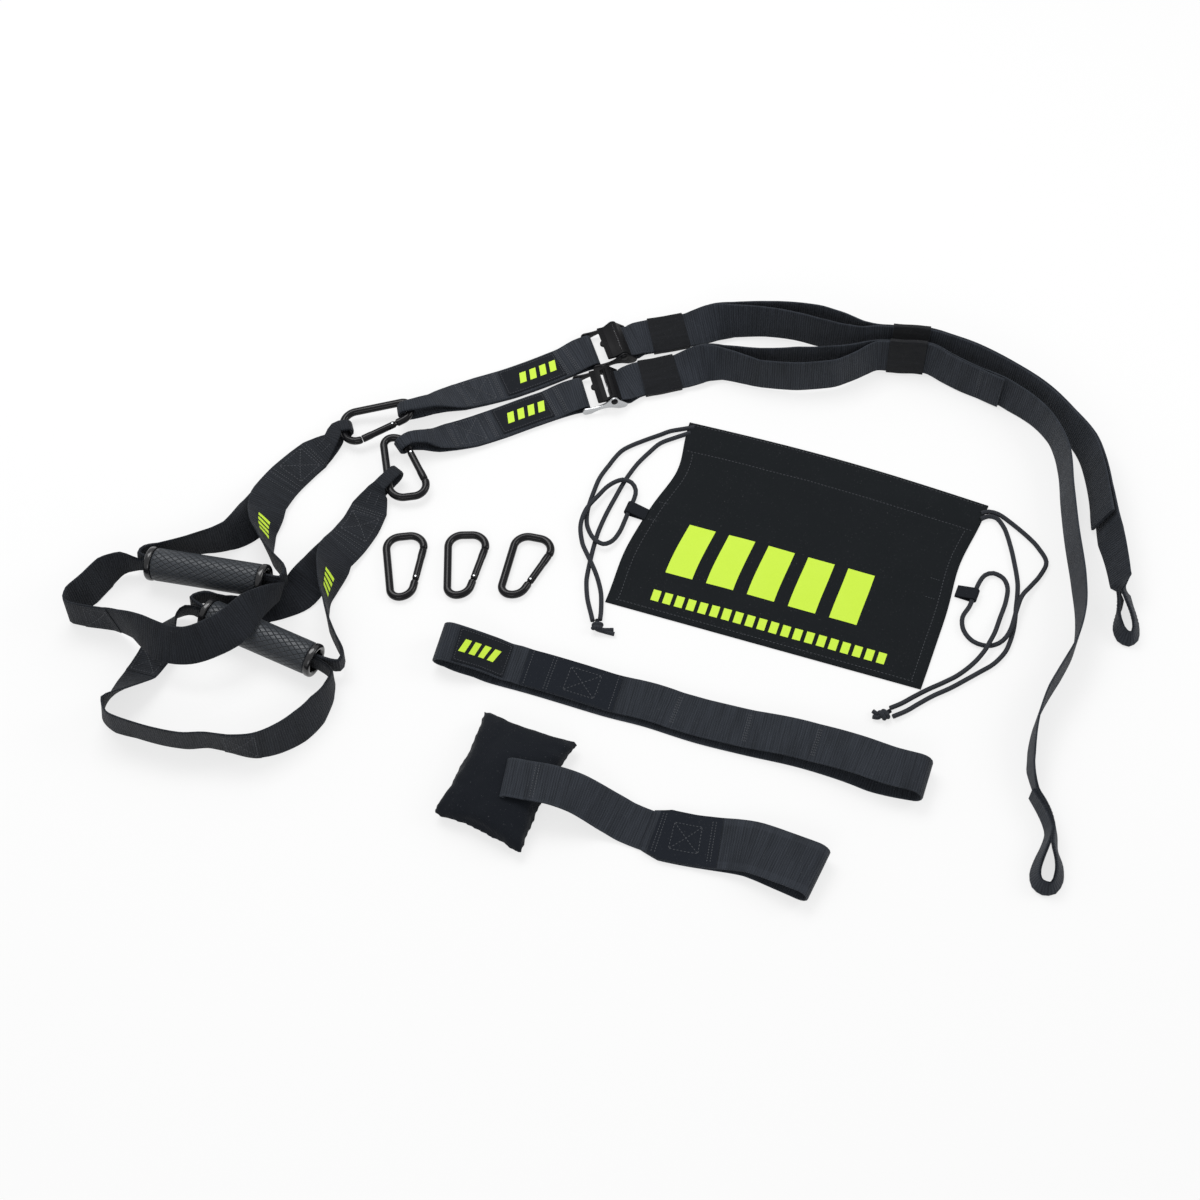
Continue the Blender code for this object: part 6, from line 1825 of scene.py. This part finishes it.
cord_knot("left", (-2.5, -32.5, 4.9), (0.2, 1.0),
          [[(4.0, -37.5, 3.2), (13.5, -40.0, 2.5)], [(3.0, -36.5, 4.4), (12.5, -35.5, 2.8)]])
cord_knot("right", (262, -129, 4.9), (0.9, 0.4),
          [[(257.0, -128.5, 3.2), (252.0, -124.0, 2.5)], [(256.5, -131.5, 3.8), (251.5, -130.0, 2.6)]])
drawcord("drawcord_left_inner", [
    (90, 197, LOW), (75, 191, LOW), (60, 184, LOW), (50, 174, LOW), (38, 160, LOW),
    (25, 139, LOW), (15, 118, LOW), (6, 98, LOW), (-2, 76, LOW), (-6, 60, LOW), (-10, 40, LOW),
    (-13, 19, LOW), (-12, 0, LOW), (-8.5, -18, 3.2), (-7, -26, 4.0)])
drawcord("drawcord_left_outer", [
    (94, 204, LOW), (79, 201, LOW), (70, 199, LOW), (59, 194, LOW), (41, 186, LOW),
    (22, 175, LOW), (9, 157, LOW), (-1, 140, LOW), (-7, 122, LOW), (-12, 103, LOW),
    (-13, 92, LOW), (-12, 82, 3.2), (-6, 66, OVER), (3, 60, 6.8), (12, 65, 5.0), (19, 76, 4.2),
    (24.3, 90, 4.05), (29, 103.9, 4.05), (33.6, 116, 4.2), (35, 125, 5.0), (31, 133, 6.5),
    (22, 136, OVER), (9, 130, 6.2), (-2, 117, 6.4), (-12, 103, 7.5), (-17, 91, 7.2),
    (-19, 80, 5.2), (-17, 62, 5.2), (-10, 42, OVER), (-3, 24, 4.6), (1, 5, LOW), (1, -14, 3.2),
    (0, -25, 4.0)])
drawcord("drawcord_right_inner", [
    (370, 92, LOW), (378, 95.5, LOW), (386, 93, LOW), (392, 82, LOW), (396, 62, LOW),
    (398, 42, LOW), (399, 16, LOW), (395, -10, LOW), (390, -36, LOW), (380, -60, LOW),
    (368, -73, LOW), (354, -82, LOW), (341, -90, LOW), (326, -99, LOW), (309, -107.5, LOW),
    (295, -116, LOW), (283, -124, 3.0), (270, -130.5, 3.8)])
drawcord("drawcord_right_outer", [
    (371, 99, LOW), (379, 101, LOW), (388, 98, LOW), (398, 89, LOW), (410, 76, LOW),
    (422, 60, LOW), (429, 42, LOW), (422, 27, LOW), (411, 13, 4.2), (401, 0, OVER),
    (394, -17, 7.4), (387, -37, OVER), (382, -45, 5.2), (375, -50.5, 3.2), (364, -53, LOW),
    (351, -48, LOW), (343, -36, 2.9), (343, -22, 3.6), (350.5, -10, 4.05), (356, 2.9, 4.05),
    (361.5, 16, 4.0), (368.5, 26, 3.4), (377, 29, LOW), (386, 23, LOW), (389, 12, LOW),
    (386, -3, LOW), (378, -24, 4.6), (371, -42, 7.5), (365.5, -52, 7.5), (360, -61, 6.2),
    (349, -73, 3.6), (334, -85, LOW), (320, -93, LOW), (304, -101, LOW), (290, -109, LOW),
    (279, -116, 3.0), (268, -121.5, 3.8)])


# Floor, world and lights

def white_when_seen(tree, shader, strength, share):
    """Mixes a plain white glow over a shader where the camera, gloss or glass sees it directly."""
    path = tree.nodes.new("ShaderNodeLightPath")
    seen = maths(tree, "MAXIMUM", path.outputs["Is Camera Ray"], path.outputs["Is Glossy Ray"])
    seen = maths(tree, "MAXIMUM", seen, path.outputs["Is Transmission Ray"])
    glow = tree.nodes.new("ShaderNodeEmission")
    glow.inputs["Strength"].default_value = strength
    mixed = tree.nodes.new("ShaderNodeMixShader")
    tree.links.new(maths(tree, "MULTIPLY", seen, share), mixed.inputs[0])
    tree.links.new(shader, mixed.inputs[1])
    tree.links.new(glow.outputs[0], mixed.inputs[2])
    return mixed.outputs[0]


def make_floor():
    bm = bmesh.new()
    bmesh.ops.create_grid(bm, x_segments=1, y_segments=1, size=6.0)
    mesh = bpy.data.meshes.new("floor")
    bm.to_mesh(mesh)
    bm.free()
    floor = link("floor", mesh)
    floor.location.z = -0.0002
    made = bpy.data.materials.new("pale_floor")
    made.use_nodes = True
    tree = made.node_tree
    shader = tree.nodes["Principled BSDF"]
    shader.inputs["Base Color"].default_value = (0.86, 0.86, 0.86, 1.0)
    shader.inputs["Roughness"].default_value = 0.7
    shader.inputs["Specular IOR Level"].default_value = 0.2
    output = next(n for n in tree.nodes if n.type == "OUTPUT_MATERIAL")
    tree.links.new(white_when_seen(tree, shader.outputs[0], 1.0, 0.72), output.inputs["Surface"])
    mesh.materials.append(made)


def make_world():
    world = bpy.data.worlds.new("studio")
    world.use_nodes = True
    tree = world.node_tree
    background = tree.nodes["Background"]
    path = tree.nodes.new("ShaderNodeLightPath")
    seen = maths(tree, "MAXIMUM", path.outputs["Is Camera Ray"], path.outputs["Is Transmission Ray"])
    background.inputs["Color"].default_value = (1.0, 1.0, 1.0, 1.0)
    tree.links.new(maths(tree, "MULTIPLY_ADD", seen, 0.45, 0.55), background.inputs["Strength"])
    bpy.context.scene.world = world


def softbox(name, place, width, height, power):
    data = bpy.data.lights.new(name, "AREA")
    data.shape = "RECTANGLE"
    data.size, data.size_y = width, height
    data.energy = power
    look_from(link(name, data), place, (0.0, 0.0, 0.0))


make_floor()
make_world()
softbox("key_softbox", (-0.5, 0.9, 1.7), 1.4, 0.9, 22.0)
softbox("side_softbox", (1.6, 0.2, 1.0), 0.8, 0.8, 7.0)
softbox("front_fill", (-0.4, -1.8, 1.2), 1.2, 0.7, 6.0)
bpy.context.scene.view_settings.view_transform = "Standard"
